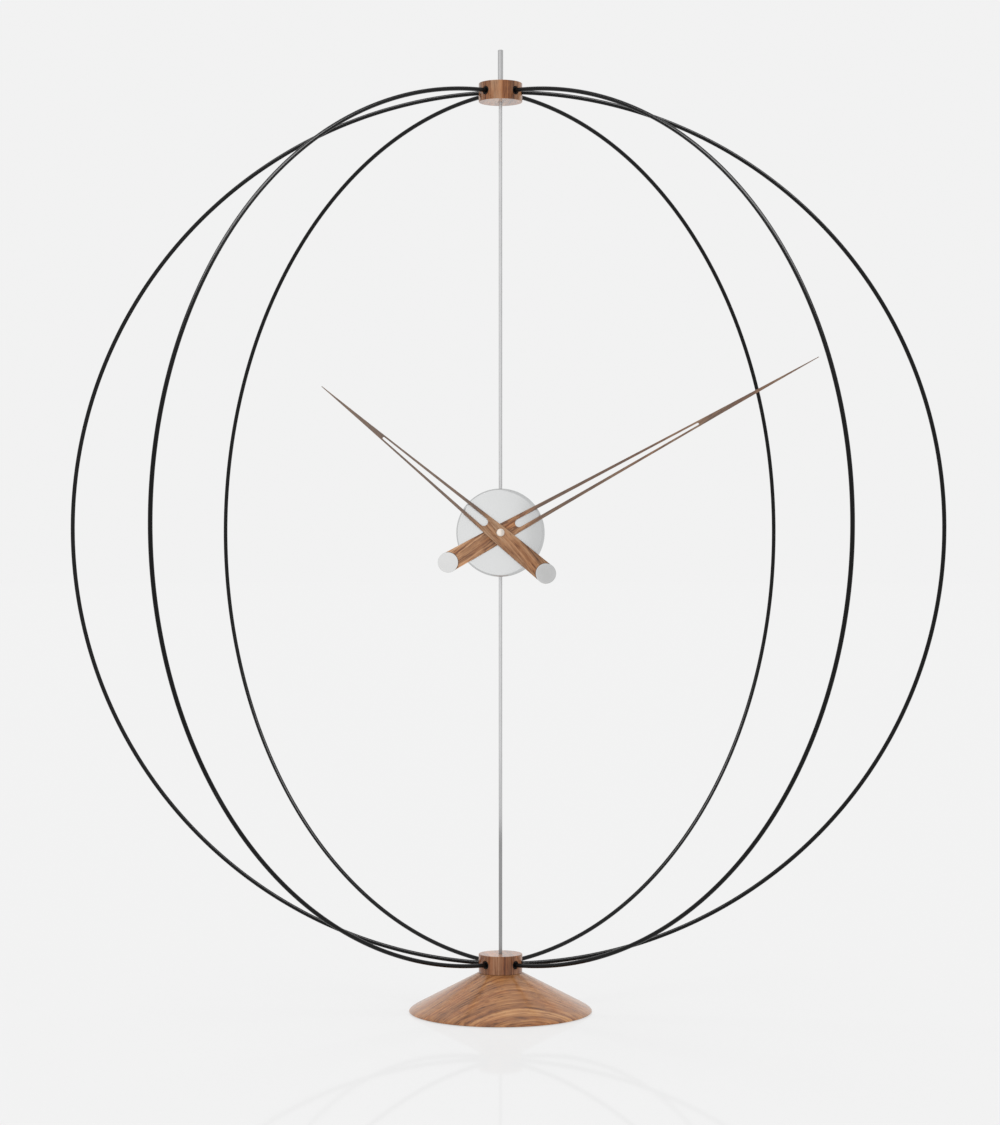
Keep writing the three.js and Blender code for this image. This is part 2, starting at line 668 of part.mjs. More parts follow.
function rearCoverGeometry() {
  const rim = DRUM_RADIUS - DRUM_WALL - FIT_GAP;
  const skirtFront = COVER_FRONT - COVER_SKIRT_DEPTH;
  const body = turnedAboutY([
    [0, COVER_FRONT],
    [rim - COVER_SKIRT_WALL, COVER_FRONT],
    [rim - COVER_SKIRT_WALL, skirtFront],
    [rim, skirtFront],
    [rim, DRUM_BACK],
    [0, DRUM_BACK],
  ], FACETS_LARGE);
  const holeRadius = SET_KNOB_DIAMETER / 2 + KNOB_HOLE_GAP;
  const hole = rodAlongY(holeRadius, COVER_FRONT - 1, DRUM_BACK + 1, FACETS_MEDIUM);
  return cut(body, [hole.translate(SET_PLACE.x, 0, SET_PLACE.y)]);
}

function addCase(dial) {
  add('drum_shell', drumGeometry(), caseMetal, dial);
  add('rear_cover', rearCoverGeometry(), caseMetal, dial);
  const clamp = clampGeometry();
  const screw = clampScrewGeometry();
  for (const [name, side] of [['upper', 1], ['lower', -1]]) {
    const place = groupAt(0, 0, side * clampOffset(), dial);
    add(`${name}_rod_clamp`, clamp, satinSteel, place);
    add(`${name}_clamp_screw`, screw, blackSteel, place);
  }
}

// Movement

function squareShape(width, corner) {
  const straight = width / 2 - corner;
  const shape = new THREE.Shape();
  shape.moveTo(width / 2, -straight);
  shape.absarc(straight, straight, corner, 0, Math.PI / 2);
  shape.absarc(-straight, straight, corner, Math.PI / 2, Math.PI);
  shape.absarc(-straight, -straight, corner, Math.PI, Math.PI * 3 / 2);
  shape.absarc(straight, -straight, corner, Math.PI * 3 / 2, Math.PI * 2);
  return shape;
}

function movementCaseGeometry() {
  const insideCorner = MOVEMENT_CORNER - MOVEMENT_WALL;
  const insideWidth = MOVEMENT_WIDTH - 2 * MOVEMENT_WALL;
  const outside = plate(squareShape(MOVEMENT_WIDTH, MOVEMENT_CORNER), CASE_FRONT, CASE_BACK);
  const inside = plate(squareShape(insideWidth, insideCorner), CASE_FLOOR, CASE_BACK + 1);
  const bush = rodAlongY(MOUNT_BUSH_RADIUS, NUT_FRONT, CASE_FLOOR, FACETS_MEDIUM);
  const postEnd = MOTION_PINION_BACK + GEAR_SPACE / 2;
  const post = rodAlongY(POST_DIAMETER / 2, CASE_FLOOR - MOVEMENT_WALL / 2, postEnd, FACETS_SMALL);
  const bore = rodAlongY(PIPE_RADIUS + FIT_GAP, NUT_FRONT - 1, CASE_FLOOR + 1, FACETS_MEDIUM);
  const pivotRadius = SET_STEM_DIAMETER / 2 + FIT_GAP;
  const pivotFront = CASE_FLOOR - SET_PIVOT_DEPTH;
  const pivot = rodAlongY(pivotRadius, pivotFront, CASE_FLOOR + 1, FACETS_SMALL);
  return cut(join([
    cut(outside, [inside]),
    bush,
    post.translate(MOTION_PLACE.x, 0, MOTION_PLACE.y),
  ]), [bore, pivot.translate(SET_PLACE.x, 0, SET_PLACE.y)]);
}

function movementCoverGeometry() {
  const shape = squareShape(MOVEMENT_WIDTH, MOVEMENT_CORNER);
  const hourBearing = ringPoints(ARBOR_RADIUS + FIT_GAP, FACETS_SMALL);
  const setBearing = ringPoints(SET_STEM_DIAMETER / 2 + FIT_GAP, FACETS_SMALL);
  shape.holes.push(new THREE.Path(hourBearing));
  shape.holes.push(new THREE.Path(setBearing.map((point) => point.add(SET_PLACE))));
  return plate(shape, MOVEMENT_COVER_FRONT, MOVEMENT_COVER_BACK);
}

function addMovement(dial) {
  add('movement_case', movementCaseGeometry(), casePlastic, dial);
  add('movement_cover', movementCoverGeometry(), casePlastic, dial);
  const nut = ringShape(
    ringPoints(MOUNT_NUT_WIDTH / 2 / Math.cos(Math.PI / 6), 6),
    ringPoints(MOUNT_BUSH_RADIUS + FIT_GAP, FACETS_MEDIUM),
  );
  add('movement_nut', plate(nut, NUT_FRONT, DRUM_FACE - SEAT_GAP), brass, dial);
  const boardX = -(MOVEMENT_WIDTH - BOARD_WIDTH) / 2 + MOVEMENT_WALL + FIT_GAP;
  const board = new THREE.BoxGeometry(BOARD_WIDTH, BOARD_THICKNESS, BOARD_HEIGHT);
  add('circuit_board', board, boardGreen, dial).position.set(boardX, (BOARD_FRONT + BOARD_BACK) / 2, 0);
  const flange = COIL_DIAMETER / 2;
  const winding = COIL_WINDING_DIAMETER / 2;
  const end = COIL_LENGTH / 2;
  const coil = turnedAboutZ([
    [0, -end],
    [flange, -end],
    [flange, -end + COIL_FLANGE],
    [winding, -end + COIL_FLANGE],
    [winding, end - COIL_FLANGE],
    [flange, end - COIL_FLANGE],
    [flange, end],
    [0, end],
  ], FACETS_SMALL);
  add('motor_coil', coil, copperWire, dial).position.set(boardX, BOARD_BACK + SEAT_GAP + flange, 0);
}

// Cell, cradle and contacts

function cradleInside() {
  return CELL_LENGTH / 2 + CONTACT_THICKNESS + 3 * SEAT_GAP + FIT_GAP;
}

function cradleGeometry() {
  const outside = cradleInside() + CRADLE_WALL;
  const back = CRADLE_FLOOR + CRADLE_END_DEPTH;
  const body = boxBetween(
    new THREE.Vector3(-CRADLE_WIDTH / 2, CRADLE_FRONT, -outside),
    new THREE.Vector3(CRADLE_WIDTH / 2, back, outside),
  );
  const bay = boxBetween(
    new THREE.Vector3(-CRADLE_WIDTH, CRADLE_FLOOR, -cradleInside()),
    new THREE.Vector3(CRADLE_WIDTH, back + 1, cradleInside()),
  );
  return cut(body, [bay]);
}

function addCell(dial) {
  const bay = groupAt(-CELL_OFFSET, 0, 0, dial);
  add('battery_cradle', cradleGeometry(), whitePlastic, bay);
  const half = CELL_LENGTH / 2;
  const shoulder = half - CELL_NUB_LENGTH;
  const cell = turnedAboutZ([
    [0, -half],
    [CELL_DIAMETER / 2, -half],
    [CELL_DIAMETER / 2, shoulder],
    [CELL_NUB_DIAMETER / 2, shoulder],
    [CELL_NUB_DIAMETER / 2, half],
    [0, half],
  ], FACETS_MEDIUM);
  add('battery', cell, cellJacket, bay).position.y = CELL_CENTRE_DEPTH;
  const contact = new THREE.BoxGeometry(CONTACT_WIDTH, CONTACT_DEPTH, CONTACT_THICKNESS);
  const contactY = CRADLE_FLOOR + SEAT_GAP + CONTACT_DEPTH / 2;
  const contactZ = cradleInside() - SEAT_GAP - CONTACT_THICKNESS / 2;
  add('positive_contact', contact, satinSteel, bay).position.set(0, contactY, contactZ);
  add('negative_contact', contact, satinSteel, bay).position.set(0, contactY, -contactZ);
}

// Gears: teeth are straight sided, with play so that they run free

function gearPoints(teeth, gearModule, phase) {
  const pitch = gearModule * teeth / 2;
  const root = pitch - DEDENDUM * gearModule;
  const tip = pitch + ADDENDUM * gearModule;
  const step = 2 * Math.PI / teeth;
  const tooth = [
    [root, -TOOTH_HALF_AT_ROOT],
    [tip, -TOOTH_HALF_AT_TIP],
    [tip, TOOTH_HALF_AT_TIP],
    [root, TOOTH_HALF_AT_ROOT],
  ];
  const points = [];
  for (let i = 0; i < teeth; i++) {
    for (const [radius, share] of tooth) {
      points.push(polar(radius, phase + (i + share) * step));
    }
  }
  return points;
}

// The phase that puts a gap of a gear with this many teeth at an angle
function gapAt(angle, teeth) {
  return angle + Math.PI / teeth;
}

const minutePhase = radians(MOTION_DIRECTION);
const motionWheelPhase = gapAt(radians(MOTION_DIRECTION + 180), MOTION_WHEEL_TEETH);
const motionPinionPhase = radians(MOTION_DIRECTION + 180);
const hourPhase = gapAt(radians(MOTION_DIRECTION), HOUR_WHEEL_TEETH);

// A tooth of the motion wheel that is off the line of centres turns the set pinion's gap by as
// much, the other way and in proportion to the teeth
function setPhase() {
  const step = 2 * Math.PI / MOTION_WHEEL_TEETH;
  const off = (radians(SET_DIRECTION) - motionWheelPhase) / step;
  const wheelLead = (Math.round(off) - off) * step;
  const pinionLead = -wheelLead * MOTION_WHEEL_TEETH / SET_PINION_TEETH;
  return gapAt(radians(SET_DIRECTION + 180), SET_PINION_TEETH) + pinionLead;
}

function minutePipeGeometry() {
  const flange = FLANGE_DIAMETER / 2;
  const flangeFront = MINUTE_FLANGE_BACK - FLANGE_THICKNESS;
  const front = MINUTE_HAND_FRONT + FIT_GAP;
  const back = MINUTE_PINION_BACK + RUNNING_GAP / 2;
  const pipe = turnedAboutY(closed([
    [PIPE_BORE, front],
    [PIPE_RADIUS, front],
    [PIPE_RADIUS, flangeFront],
    [flange, flangeFront],
    [flange, MINUTE_FLANGE_BACK],
    [PIPE_RADIUS, MINUTE_FLANGE_BACK],
    [PIPE_RADIUS, back],
    [PIPE_BORE, back],
  ]), FACETS_MEDIUM);
  const outline = gearPoints(MINUTE_PINION_TEETH, MINUTE_MODULE, minutePhase);
  const hole = ringPoints((PIPE_BORE + PIPE_RADIUS) / 2, FACETS_MEDIUM);
  const pinion = plate(ringShape(outline, hole), MINUTE_PINION_FRONT, MINUTE_PINION_BACK);
  return join([pipe, pinion]);
}

function motionWheelGeometry() {
  const bore = ringPoints(POST_DIAMETER / 2 + FIT_GAP, FACETS_SMALL);
  const wheel = ringShape(gearPoints(MOTION_WHEEL_TEETH, MINUTE_MODULE, motionWheelPhase), bore);
  const pinion = ringShape(gearPoints(MOTION_PINION_TEETH, HOUR_MODULE, motionPinionPhase), bore);
  return join([
    plate(wheel, MOTION_WHEEL_FRONT, MOTION_WHEEL_FRONT + WHEEL_THICKNESS),
    plate(pinion, MOTION_WHEEL_FRONT, MOTION_PINION_BACK),
  ]);
}

function hourWheelGeometry() {
  const bore = ringPoints(ARBOR_RADIUS + 2 * SEAT_GAP, FACETS_SMALL);
  const outline = gearPoints(HOUR_WHEEL_TEETH, HOUR_MODULE, hourPhase);
  return plate(ringShape(outline, bore), HOUR_WHEEL_FRONT, HOUR_WHEEL_FRONT + WHEEL_THICKNESS);
}

function hourArborGeometry() {
  const flange = FLANGE_DIAMETER / 2;
  const flangeFront = HOUR_FLANGE_BACK - FLANGE_THICKNESS;
  return turnedAboutY([
    [0, ARBOR_FRONT],
    [ARBOR_RADIUS, ARBOR_FRONT],
    [ARBOR_RADIUS, flangeFront],
    [flange, flangeFront],
    [flange, HOUR_FLANGE_BACK],
    [ARBOR_RADIUS, HOUR_FLANGE_BACK],
    [ARBOR_RADIUS, MOVEMENT_COVER_BACK],
    [0, MOVEMENT_COVER_BACK],
  ], FACETS_SMALL);
}

function setKnobGeometry() {
  const stem = SET_STEM_DIAMETER / 2;
  const stemFront = CASE_FLOOR - SET_PIVOT_DEPTH + FIT_GAP;
  const pinion = new THREE.Shape(gearPoints(SET_PINION_TEETH, MINUTE_MODULE, setPhase()));
  const knobPoints = [];
  for (let i = 0; i < 4 * SET_KNOB_RIBS; i++) {
    const depth = i % 4 < 2 ? 0 : SET_KNOB_RIB_DEPTH;
    knobPoints.push(polar(SET_KNOB_DIAMETER / 2 - depth, i * Math.PI / 2 / SET_KNOB_RIBS));
  }
  return join([
    rodAlongY(stem, stemFront, SET_KNOB_FRONT + 1, FACETS_SMALL),
    plate(pinion, MINUTE_PINION_FRONT, MINUTE_PINION_BACK),
    plate(new THREE.Shape(knobPoints), SET_KNOB_FRONT, SET_KNOB_BACK),
  ]);
}

function addMotionWork(dial) {
  add('minute_pipe', minutePipeGeometry(), brass, dial);
  add('hour_arbor', hourArborGeometry(), satinSteel, dial);
  add('hour_wheel', hourWheelGeometry(), brass, dial);
  add('motion_wheel', motionWheelGeometry(), brass, groupAt(MOTION_PLACE.x, 0, MOTION_PLACE.y, dial));
  add('set_knob', setKnobGeometry(), whitePlastic, groupAt(SET_PLACE.x, 0, SET_PLACE.y, dial));
}

// Hands: in each, the blade runs along +X on its own middle line, the hub lies beside that line
// by the offset, and the weight sits at the end of the tail

function slotPath(hand) {
  const start = hand.slotStart + hand.slotStartHalfWidth;
  const end = hand.slotEnd - hand.slotEndHalfWidth;
  const path = new THREE.Path();
  path.moveTo(start, hand.slotStartHalfWidth);
  path.absarc(start, 0, hand.slotStartHalfWidth, Math.PI / 2, Math.PI * 3 / 2);
  path.lineTo(end, -hand.slotEndHalfWidth);
  path.absarc(end, 0, hand.slotEndHalfWidth, -Math.PI / 2, Math.PI / 2);
  return path;
}

function bladeGeometry(hand, back, hubHole) {
  const shape = new THREE.Shape();
  shape.moveTo(-hand.tail, hand.tailHalfWidth);
  shape.absarc(-hand.tail, 0, hand.tailHalfWidth, Math.PI / 2, Math.PI * 3 / 2);
  shape.lineTo(0, -hand.hubHalfWidth);
  shape.quadraticCurveTo(hand.reach / 2, -hand.middleHalfWidth, hand.reach, -hand.tipHalfWidth);
  shape.lineTo(hand.reach, hand.tipHalfWidth);
  shape.quadraticCurveTo(hand.reach / 2, hand.middleHalfWidth, 0, hand.hubHalfWidth);
  const hub = ringPoints(hubHole, FACETS_MEDIUM);
  hub.forEach((point) => point.y -= hand.offset);
  shape.holes.push(slotPath(hand), new THREE.Path(hub));
  const front = back - HAND_THICKNESS;
  const pocket = rodAlongY(WEIGHT_RADIUS + FIT_GAP, front - 1, back - TONGUE_THICKNESS, FACETS_MEDIUM);
  const screwHole = rodAlongY(WEIGHT_SCREW_DIAMETER / 2 + FIT_GAP, front - 1, back + 1, FACETS_SMALL);
  const headFront = back - WEIGHT_SCREW_HEAD_HEIGHT - SEAT_GAP;
  const headHole = rodAlongY(WEIGHT_SCREW_HEAD / 2 + FIT_GAP, headFront, back + 1, FACETS_SMALL);
  const tools = [pocket, screwHole, headHole];
  tools.forEach((tool) => tool.translate(-hand.tail, 0, 0));
  return cut(plate(shape, front, back), tools);
}

function weightGeometry(back) {
  const weightBack = back - TONGUE_THICKNESS - SEAT_GAP;
  const front = back - HAND_THICKNESS - WEIGHT_PROUD;
  const screwEnd = weightBack - WEIGHT_SCREW_BITE;
  const screwBore = WEIGHT_SCREW_DIAMETER / 2 + FIT_GAP;
  return turnedAboutY([
    [0, front],
    [WEIGHT_RADIUS - WEIGHT_EDGE, front],
    [WEIGHT_RADIUS, front + WEIGHT_EDGE],
    [WEIGHT_RADIUS, weightBack],
    [screwBore, weightBack],
    [screwBore, screwEnd],
    [0, screwEnd],
  ], FACETS_MEDIUM);
}

function weightScrewGeometry(back) {
  const shank = WEIGHT_SCREW_DIAMETER / 2;
  const head = WEIGHT_SCREW_HEAD / 2;
  const headFront = back - WEIGHT_SCREW_HEAD_HEIGHT;
  const end = back - TONGUE_THICKNESS - WEIGHT_SCREW_BITE + FIT_GAP;
  return turnedAboutY([
    [0, end],
    [shank, end],
    [shank, headFront],
    [head, headFront],
    [head, back],
    [0, back],
  ], FACETS_SMALL);
}

function addHand(name, hand, back, hubHole, dial) {
  const turned = groupAt(0, 0, 0, dial);
  turned.rotation.y = -radians(hand.angle);
  const blade = groupAt(0, 0, hand.offset, turned);
  const weight = groupAt(-hand.tail, 0, 0, blade);
  add(`${name}_blade`, bladeGeometry(hand, back, hubHole), walnut, blade);
  add(`${name}_weight`, weightGeometry(back), satinSteel, weight);
  add(`${name}_weight_screw`, weightScrewGeometry(back), brass, weight);
}

function capGeometry() {
  const radius = CAP_DIAMETER / 2;
  const dome = [];
  for (let i = 0; i < RIM_STEPS; i++) {
    const angle = i / RIM_STEPS * Math.PI / 2;
    dome.push([radius * Math.sin(angle), CAP_BACK - CAP_HEIGHT * Math.cos(angle)]);
  }
  const bore = ARBOR_RADIUS + FIT_GAP;
  const boreFront = ARBOR_FRONT - FIT_GAP;
  return turnedAboutY([
    ...dome,
    [radius, CAP_BACK],
    [bore, CAP_BACK],
    [bore, boreFront],
    [0, boreFront],
  ], FACETS_MEDIUM);
}

addBase();
addRod();
addCollars();
addHoops();
const dial = groupAt(0, 0, HUB_HEIGHT);
addCase(dial);
addMovement(dial);
addCell(dial);
addMotionWork(dial);
addHand('minute', MINUTE_HAND, MINUTE_HAND_BACK, PIPE_RADIUS + FIT_GAP, dial);
addHand('hour', HOUR_HAND, HOUR_HAND_BACK, ARBOR_RADIUS + FIT_GAP, dial);
add('hour_cap', capGeometry(), capMetal, dial);

export default clock;
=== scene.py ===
"""Floor clock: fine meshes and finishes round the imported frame.

The clock's sizes below are millimetres, and its meshes are scaled to metres as they are made. The
camera, the floor and the lights are set out in metres. The clock stands on z = 0 with the rod's axis
on the Z axis, and faces -Y.
"""
import math

import bmesh
import bpy
from mathutils import Matrix, Vector
from mathutils.geometry import tessellate_polygon


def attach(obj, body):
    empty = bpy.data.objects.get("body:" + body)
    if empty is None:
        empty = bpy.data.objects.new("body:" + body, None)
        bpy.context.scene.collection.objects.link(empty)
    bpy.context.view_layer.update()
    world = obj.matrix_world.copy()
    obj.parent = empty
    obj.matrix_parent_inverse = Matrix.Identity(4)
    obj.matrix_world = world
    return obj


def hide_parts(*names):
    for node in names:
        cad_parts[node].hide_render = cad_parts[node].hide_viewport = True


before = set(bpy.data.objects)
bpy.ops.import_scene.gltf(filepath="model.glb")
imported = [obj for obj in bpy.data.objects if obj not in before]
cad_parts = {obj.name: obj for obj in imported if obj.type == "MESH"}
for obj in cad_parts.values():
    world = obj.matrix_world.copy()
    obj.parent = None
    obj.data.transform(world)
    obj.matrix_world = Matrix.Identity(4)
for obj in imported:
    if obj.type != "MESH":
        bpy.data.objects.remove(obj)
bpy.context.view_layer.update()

MM = 0.001

# Camera, from a fit to the hoops, the collars and the case
CAMERA_PLACE = (-0.00057, -2.8835, 0.5125)
CAMERA_LENS = 80.85
CAMERA_SENSOR = 36.0

# Clearances, and how far a cutter reaches past what it cuts
SEAT_GAP = 0.05
FIT_GAP = 0.3
CUTTER_REACH = 1.0

# Hoops. Each plane is turned by degrees from the dial's and holds two half hoops.
HOOP_HALF_WIDTH = 500.0
HOOP_HALF_HEIGHT = 497.0
HOOP_ROD_RADIUS = 2.4
HOOP_PLANES = (
    (-6.1, ("right", "left")),
    (45.5, ("back_right", "front_left")),
    (134.8, ("back_left", "front_right")),
)

# Collars and sockets
COLLAR_RADIUS = 24.9
COLLAR_HEIGHT = 21.2
COLLAR_EDGE = 0.6
COLLAR_BORE_EDGE = 0.2
SOCKET_RADIUS = 4.7
SOCKET_DEPTH = 9.0
SOCKET_BEVEL = 0.9
SOCKET_BEVEL_DEPTH = 0.65
SOCKET_BEVEL_PAST = 0.25
SOCKET_CUTTER_REACH = 5.0
BUSH_RECESS = 0.6
BUSH_OUTER_EDGE = 0.3
BUSH_INNER_EDGE = 0.4
ROD_BORE = 2.3

# Base
CONE_HEIGHT = 45.0
CONE_NECK_EDGE = 0.15
BASE_RADIUS = 104.3
RIM_CORNER_HEIGHT = 3.2
RIM_ROUNDING = 10.0
RIM_FLOOR_GAP = 1.0
RIM_FOOT_CHAMFER = 0.4
RIM_STEPS = 10
RECESS_RADIUS = 69.8
RECESS_CEILING = 14.1
RECESS_EDGE = 0.4
PAD_RADIUS = 96.5
PAD_THICKNESS = 2.0
PAD_EDGE = 0.5

# Rod and finial
ROD_RADIUS = 2.0
ROD_BOTTOM = 8.3
ROD_EDGE = 0.3
ROD_END_IN_FINIAL = 10.0
FINIAL_RADIUS = 3.0
FINIAL_LENGTH = 38.3
FINIAL_EDGE = 0.8
FINIAL_FOOT_EDGE = 0.2

# Case. Its faces are placed along Y from the rod's axis. The gear train sets the knob's place.
HUB_HEIGHT = 546.2
DRUM_RADIUS = 50.0
DRUM_FACE = -30.0
DRUM_BACK = 14.0
DRUM_WALL = 2.0
DRUM_EDGE = 3.5
DRUM_BACK_EDGE = 0.4
DRUM_LIP_EDGE = 0.3
DRUM_HUB_HOLE = 4.3
DRUM_HUB_HOLE_EDGE = 0.2
COVER_THICKNESS = 2.0
COVER_EDGE = 0.6
COVER_CORNER_EDGE = 0.5
COVER_SKIRT_DEPTH = 6.0
COVER_SKIRT_WALL = 1.5
COVER_SKIRT_INNER_EDGE = 0.3
COVER_SKIRT_OUTER_EDGE = 0.4
KNOB_PLACE = (19.3137085, 2.5426980)
KNOB_HOLE_RADIUS = 7.0
KNOB_HOLE_BEVEL = 0.6
KNOB_HOLE_BEVEL_DEPTH = 0.4
KNOB_HOLE_BEVEL_PAST = 0.2

# Hands. Angles are degrees from +X, lengths run from the hub, and widths are half widths.
HAND_THICKNESS = 4.4
HAND_EDGE = 0.35
TONGUE_THICKNESS = 1.6
BLADE_EDGE_STEPS = 72
BLADE_TAIL_STEPS = 48
BLADE_BORE_STEPS = 48
SLOT_START_STEPS = 24
SLOT_END_STEPS = 16
WEIGHT_RADIUS = 11.5
WEIGHT_PROUD = 0.5
WEIGHT_EDGE = 0.4
WEIGHT_BACK_EDGE = 0.2
WEIGHT_SCREW_RADIUS = 1.2
WEIGHT_SCREW_END_EDGE = 0.2
WEIGHT_SCREW_HEAD_RADIUS = 2.2
WEIGHT_SCREW_HEAD_HEIGHT = 0.7
WEIGHT_SCREW_HEAD_EDGES = (0.1, 0.15)
WEIGHT_SCREW_BITE = 2.0
DRIVER_SLOT_HALF_WIDTH = 0.3
DRIVER_SLOT_DEPTH = 0.35
DRIVER_SLOT_TURN = 35.0
DRIVER_SLOT_INSET = 0.01
CAP_RADIUS = 4.8
CAP_HEIGHT = 2.4
CAP_STEPS = 16
CAP_HOLE_RADIUS = 1.8
CAP_HOLE_DEPTH = 1.1
MINUTE_BACK = -34.4
HOUR_BACK = -41.25
MINUTE_HAND = {
    "angle": 29.0,
    "offset": -0.7,
    "reach": 409.5,
    "tail": 68.0,
    "hub": 9.9,
    "tail_half": 11.3,
    "middle": 3.63,
    "tip": 0.4,
    "slot": (18.9, 255.0),
    "slot_half": (4.6, 1.2),
    "bore": 3.1,
}
HOUR_HAND = {
    "angle": 140.15,
    "offset": 2.7,
    "reach": 259.5,
    "tail": 68.7,
    "hub": 10.0,
    "tail_half": 11.3,
    "middle": 3.94,
    "tip": 0.4,
    "slot": (17.4, 170.0),
    "slot_half": (4.8, 1.3),
    "bore": 1.8,
}

# Heights and places that follow from the sizes above
HOOP_END_DROP = HOOP_HALF_HEIGHT * math.sqrt(1 - (COLLAR_RADIUS / HOOP_HALF_WIDTH) ** 2)
LOWER_COLLAR = CONE_HEIGHT + SEAT_GAP + COLLAR_HEIGHT / 2
HOOP_CENTRE = LOWER_COLLAR + HOOP_END_DROP
UPPER_COLLAR = HOOP_CENTRE + HOOP_END_DROP
FINIAL_BOTTOM = UPPER_COLLAR + COLLAR_HEIGHT / 2 + SEAT_GAP
FINIAL_BORE_TOP = FINIAL_BOTTOM + ROD_END_IN_FINIAL + FIT_GAP
FINIAL_TOP = FINIAL_BOTTOM + FINIAL_LENGTH
ROD_TOP = FINIAL_BOTTOM + ROD_END_IN_FINIAL
HUB = (0, 0, HUB_HEIGHT)
CAP_BACK = HOUR_BACK - HAND_THICKNESS - SEAT_GAP

camera_data = bpy.data.cameras.new("camera")
camera_data.sensor_width = CAMERA_SENSOR
camera_data.sensor_fit = "AUTO"
camera_data.lens = CAMERA_LENS
camera = bpy.data.objects.new("camera", camera_data)
camera.location = CAMERA_PLACE
camera.rotation_euler = (math.pi / 2, 0, 0)
bpy.context.collection.objects.link(camera)
bpy.context.scene.camera = camera


# Mesh helpers

# The most of a side that a rounding takes, and how near the axis a point counts as on it
ROUNDING_SHARE = 0.49
ON_AXIS = 1e-6

# Edges that turn by more degrees than these stay sharp, and faces this much in line with an axis are flat
SHARP_ANGLE = 32
HOOP_SHARP_ANGLE = 50
ALONG_AXIS = 0.9999


def rounded(corners, closed, steps):
    """A polyline through (x, y) or (x, y, radius) corners, with the corners that have a radius rounded."""
    points = []
    count = len(corners)
    for i, corner in enumerate(corners):
        here = Vector(corner[:2])
        radius = corner[2] if len(corner) > 2 else 0
        if not radius or (not closed and i in (0, count - 1)):
            points.append(here)
            continue
        before = Vector(corners[i - 1][:2]) - here
        after = Vector(corners[(i + 1) % count][:2]) - here
        room = ROUNDING_SHARE * min(before.length, after.length)
        before.normalize()
        after.normalize()
        half = before.angle(after) / 2
        back = min(radius / math.tan(half), room)
        radius = back * math.tan(half)
        centre = here + (before + after).normalized() * (radius / math.sin(half))
        start = here + before * back - centre
        end = here + after * back - centre
        turn = start.angle_signed(end)
        for k in range(steps + 1):
            points.append(centre + Matrix.Rotation(-turn * k / steps, 2) @ start)
    return points


def supported(points, closed, reach=0.25, long=1.5):
    """The polyline with a point near each end of its long stretches, which keeps smooth shading true."""
    made = []
    pairs = len(points) if closed else len(points) - 1
    for i in range(pairs):
        here, there = points[i], points[(i + 1) % len(points)]
        made.append(here)
        length = (there - here).length
        if length > long:
            step = (there - here) * (reach / length)
            made.append(here + step)
            made.append(there - step)
    if not closed:
        made.append(points[-1])
    return made


def make(name, mesh, material, body, *replaced, slot):
    """A piece that rides on a body and stands for CAD nodes."""
    mesh.name = name
    piece = bpy.data.objects.new(name, mesh)
    bpy.context.collection.objects.link(piece)
    mesh.materials.append(material)
    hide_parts(*replaced)
    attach(piece, body)
    return piece


def mesh_of(vertices, faces):
    """A closed mesh in metres from millimetres, with its faces turned outwards."""
    mesh = bpy.data.meshes.new("shape")
    mesh.from_pydata([tuple(c * MM for c in v) for v in vertices], [], faces)
    tool = bmesh.new()
    tool.from_mesh(mesh)
    bmesh.ops.recalc_face_normals(tool, faces=tool.faces)
    tool.to_mesh(mesh)
    tool.free()
    return mesh


def shade(mesh, angle=SHARP_ANGLE, flat_axis=None):
    """Smooth shading with sharp edges, and flat where faces look along flat_axis."""
    for face in mesh.polygons:
        face.use_smooth = flat_axis is None or abs(face.normal.dot(flat_axis)) < ALONG_AXIS
    mesh.set_sharp_from_angle(angle=math.radians(angle))
    return mesh


def turned(corners, axis="z", centre=(0, 0, 0), segments=128, closed=True, steps=5):
    """A turned solid from (radius, along[, rounding]) corners; open profiles start and end on the axis."""
    profile = supported(rounded(corners, closed, steps), closed)
    rings = []
    vertices = []
    for radius, along in profile:
        ring = []
        for k in range(1 if radius < ON_AXIS else segments):
            turn = 2 * math.pi * k / segments
            a, b = radius * math.cos(turn), radius * math.sin(turn)
            spot = {"x": (along, a, b), "y": (a, along, b), "z": (a, b, along)}[axis]
            ring.append(len(vertices))
            vertices.append(Vector(spot) + Vector(centre))
        rings.append(ring)
    faces = []
    for i in range(len(rings) if closed else len(rings) - 1):
        first, second = rings[i], rings[(i + 1) % len(rings)]
        for k in range(segments):
            n = (k + 1) % segments
            if len(first) == 1:
                faces.append((first[0], second[k], second[n]))
            elif len(second) == 1:
                faces.append((first[k], second[0], first[n]))
            else:
                faces.append((first[k], second[k], second[n], first[n]))
    return shade(mesh_of(vertices, faces))


def disc(radius, bottom, top, edge=0.0):
    """The corners of a plain turned disc."""
    return [(0, bottom), (radius, bottom, edge), (radius, top, edge), (0, top)]


def inset(loop, depth):
    """A closed 2D loop moved sideways by depth, towards its left."""
    moved = []
    for i, here in enumerate(loop):
        ahead = (loop[(i + 1) % len(loop)] - here).normalized()
        behind = (here - loop[i - 1]).normalized()
        left_a, left_b = Vector((-ahead.y, ahead.x)), Vector((-behind.y, behind.x))
        moved.append(here + (left_a + left_b) * (depth / (1 + left_a.dot(left_b))))
    return moved


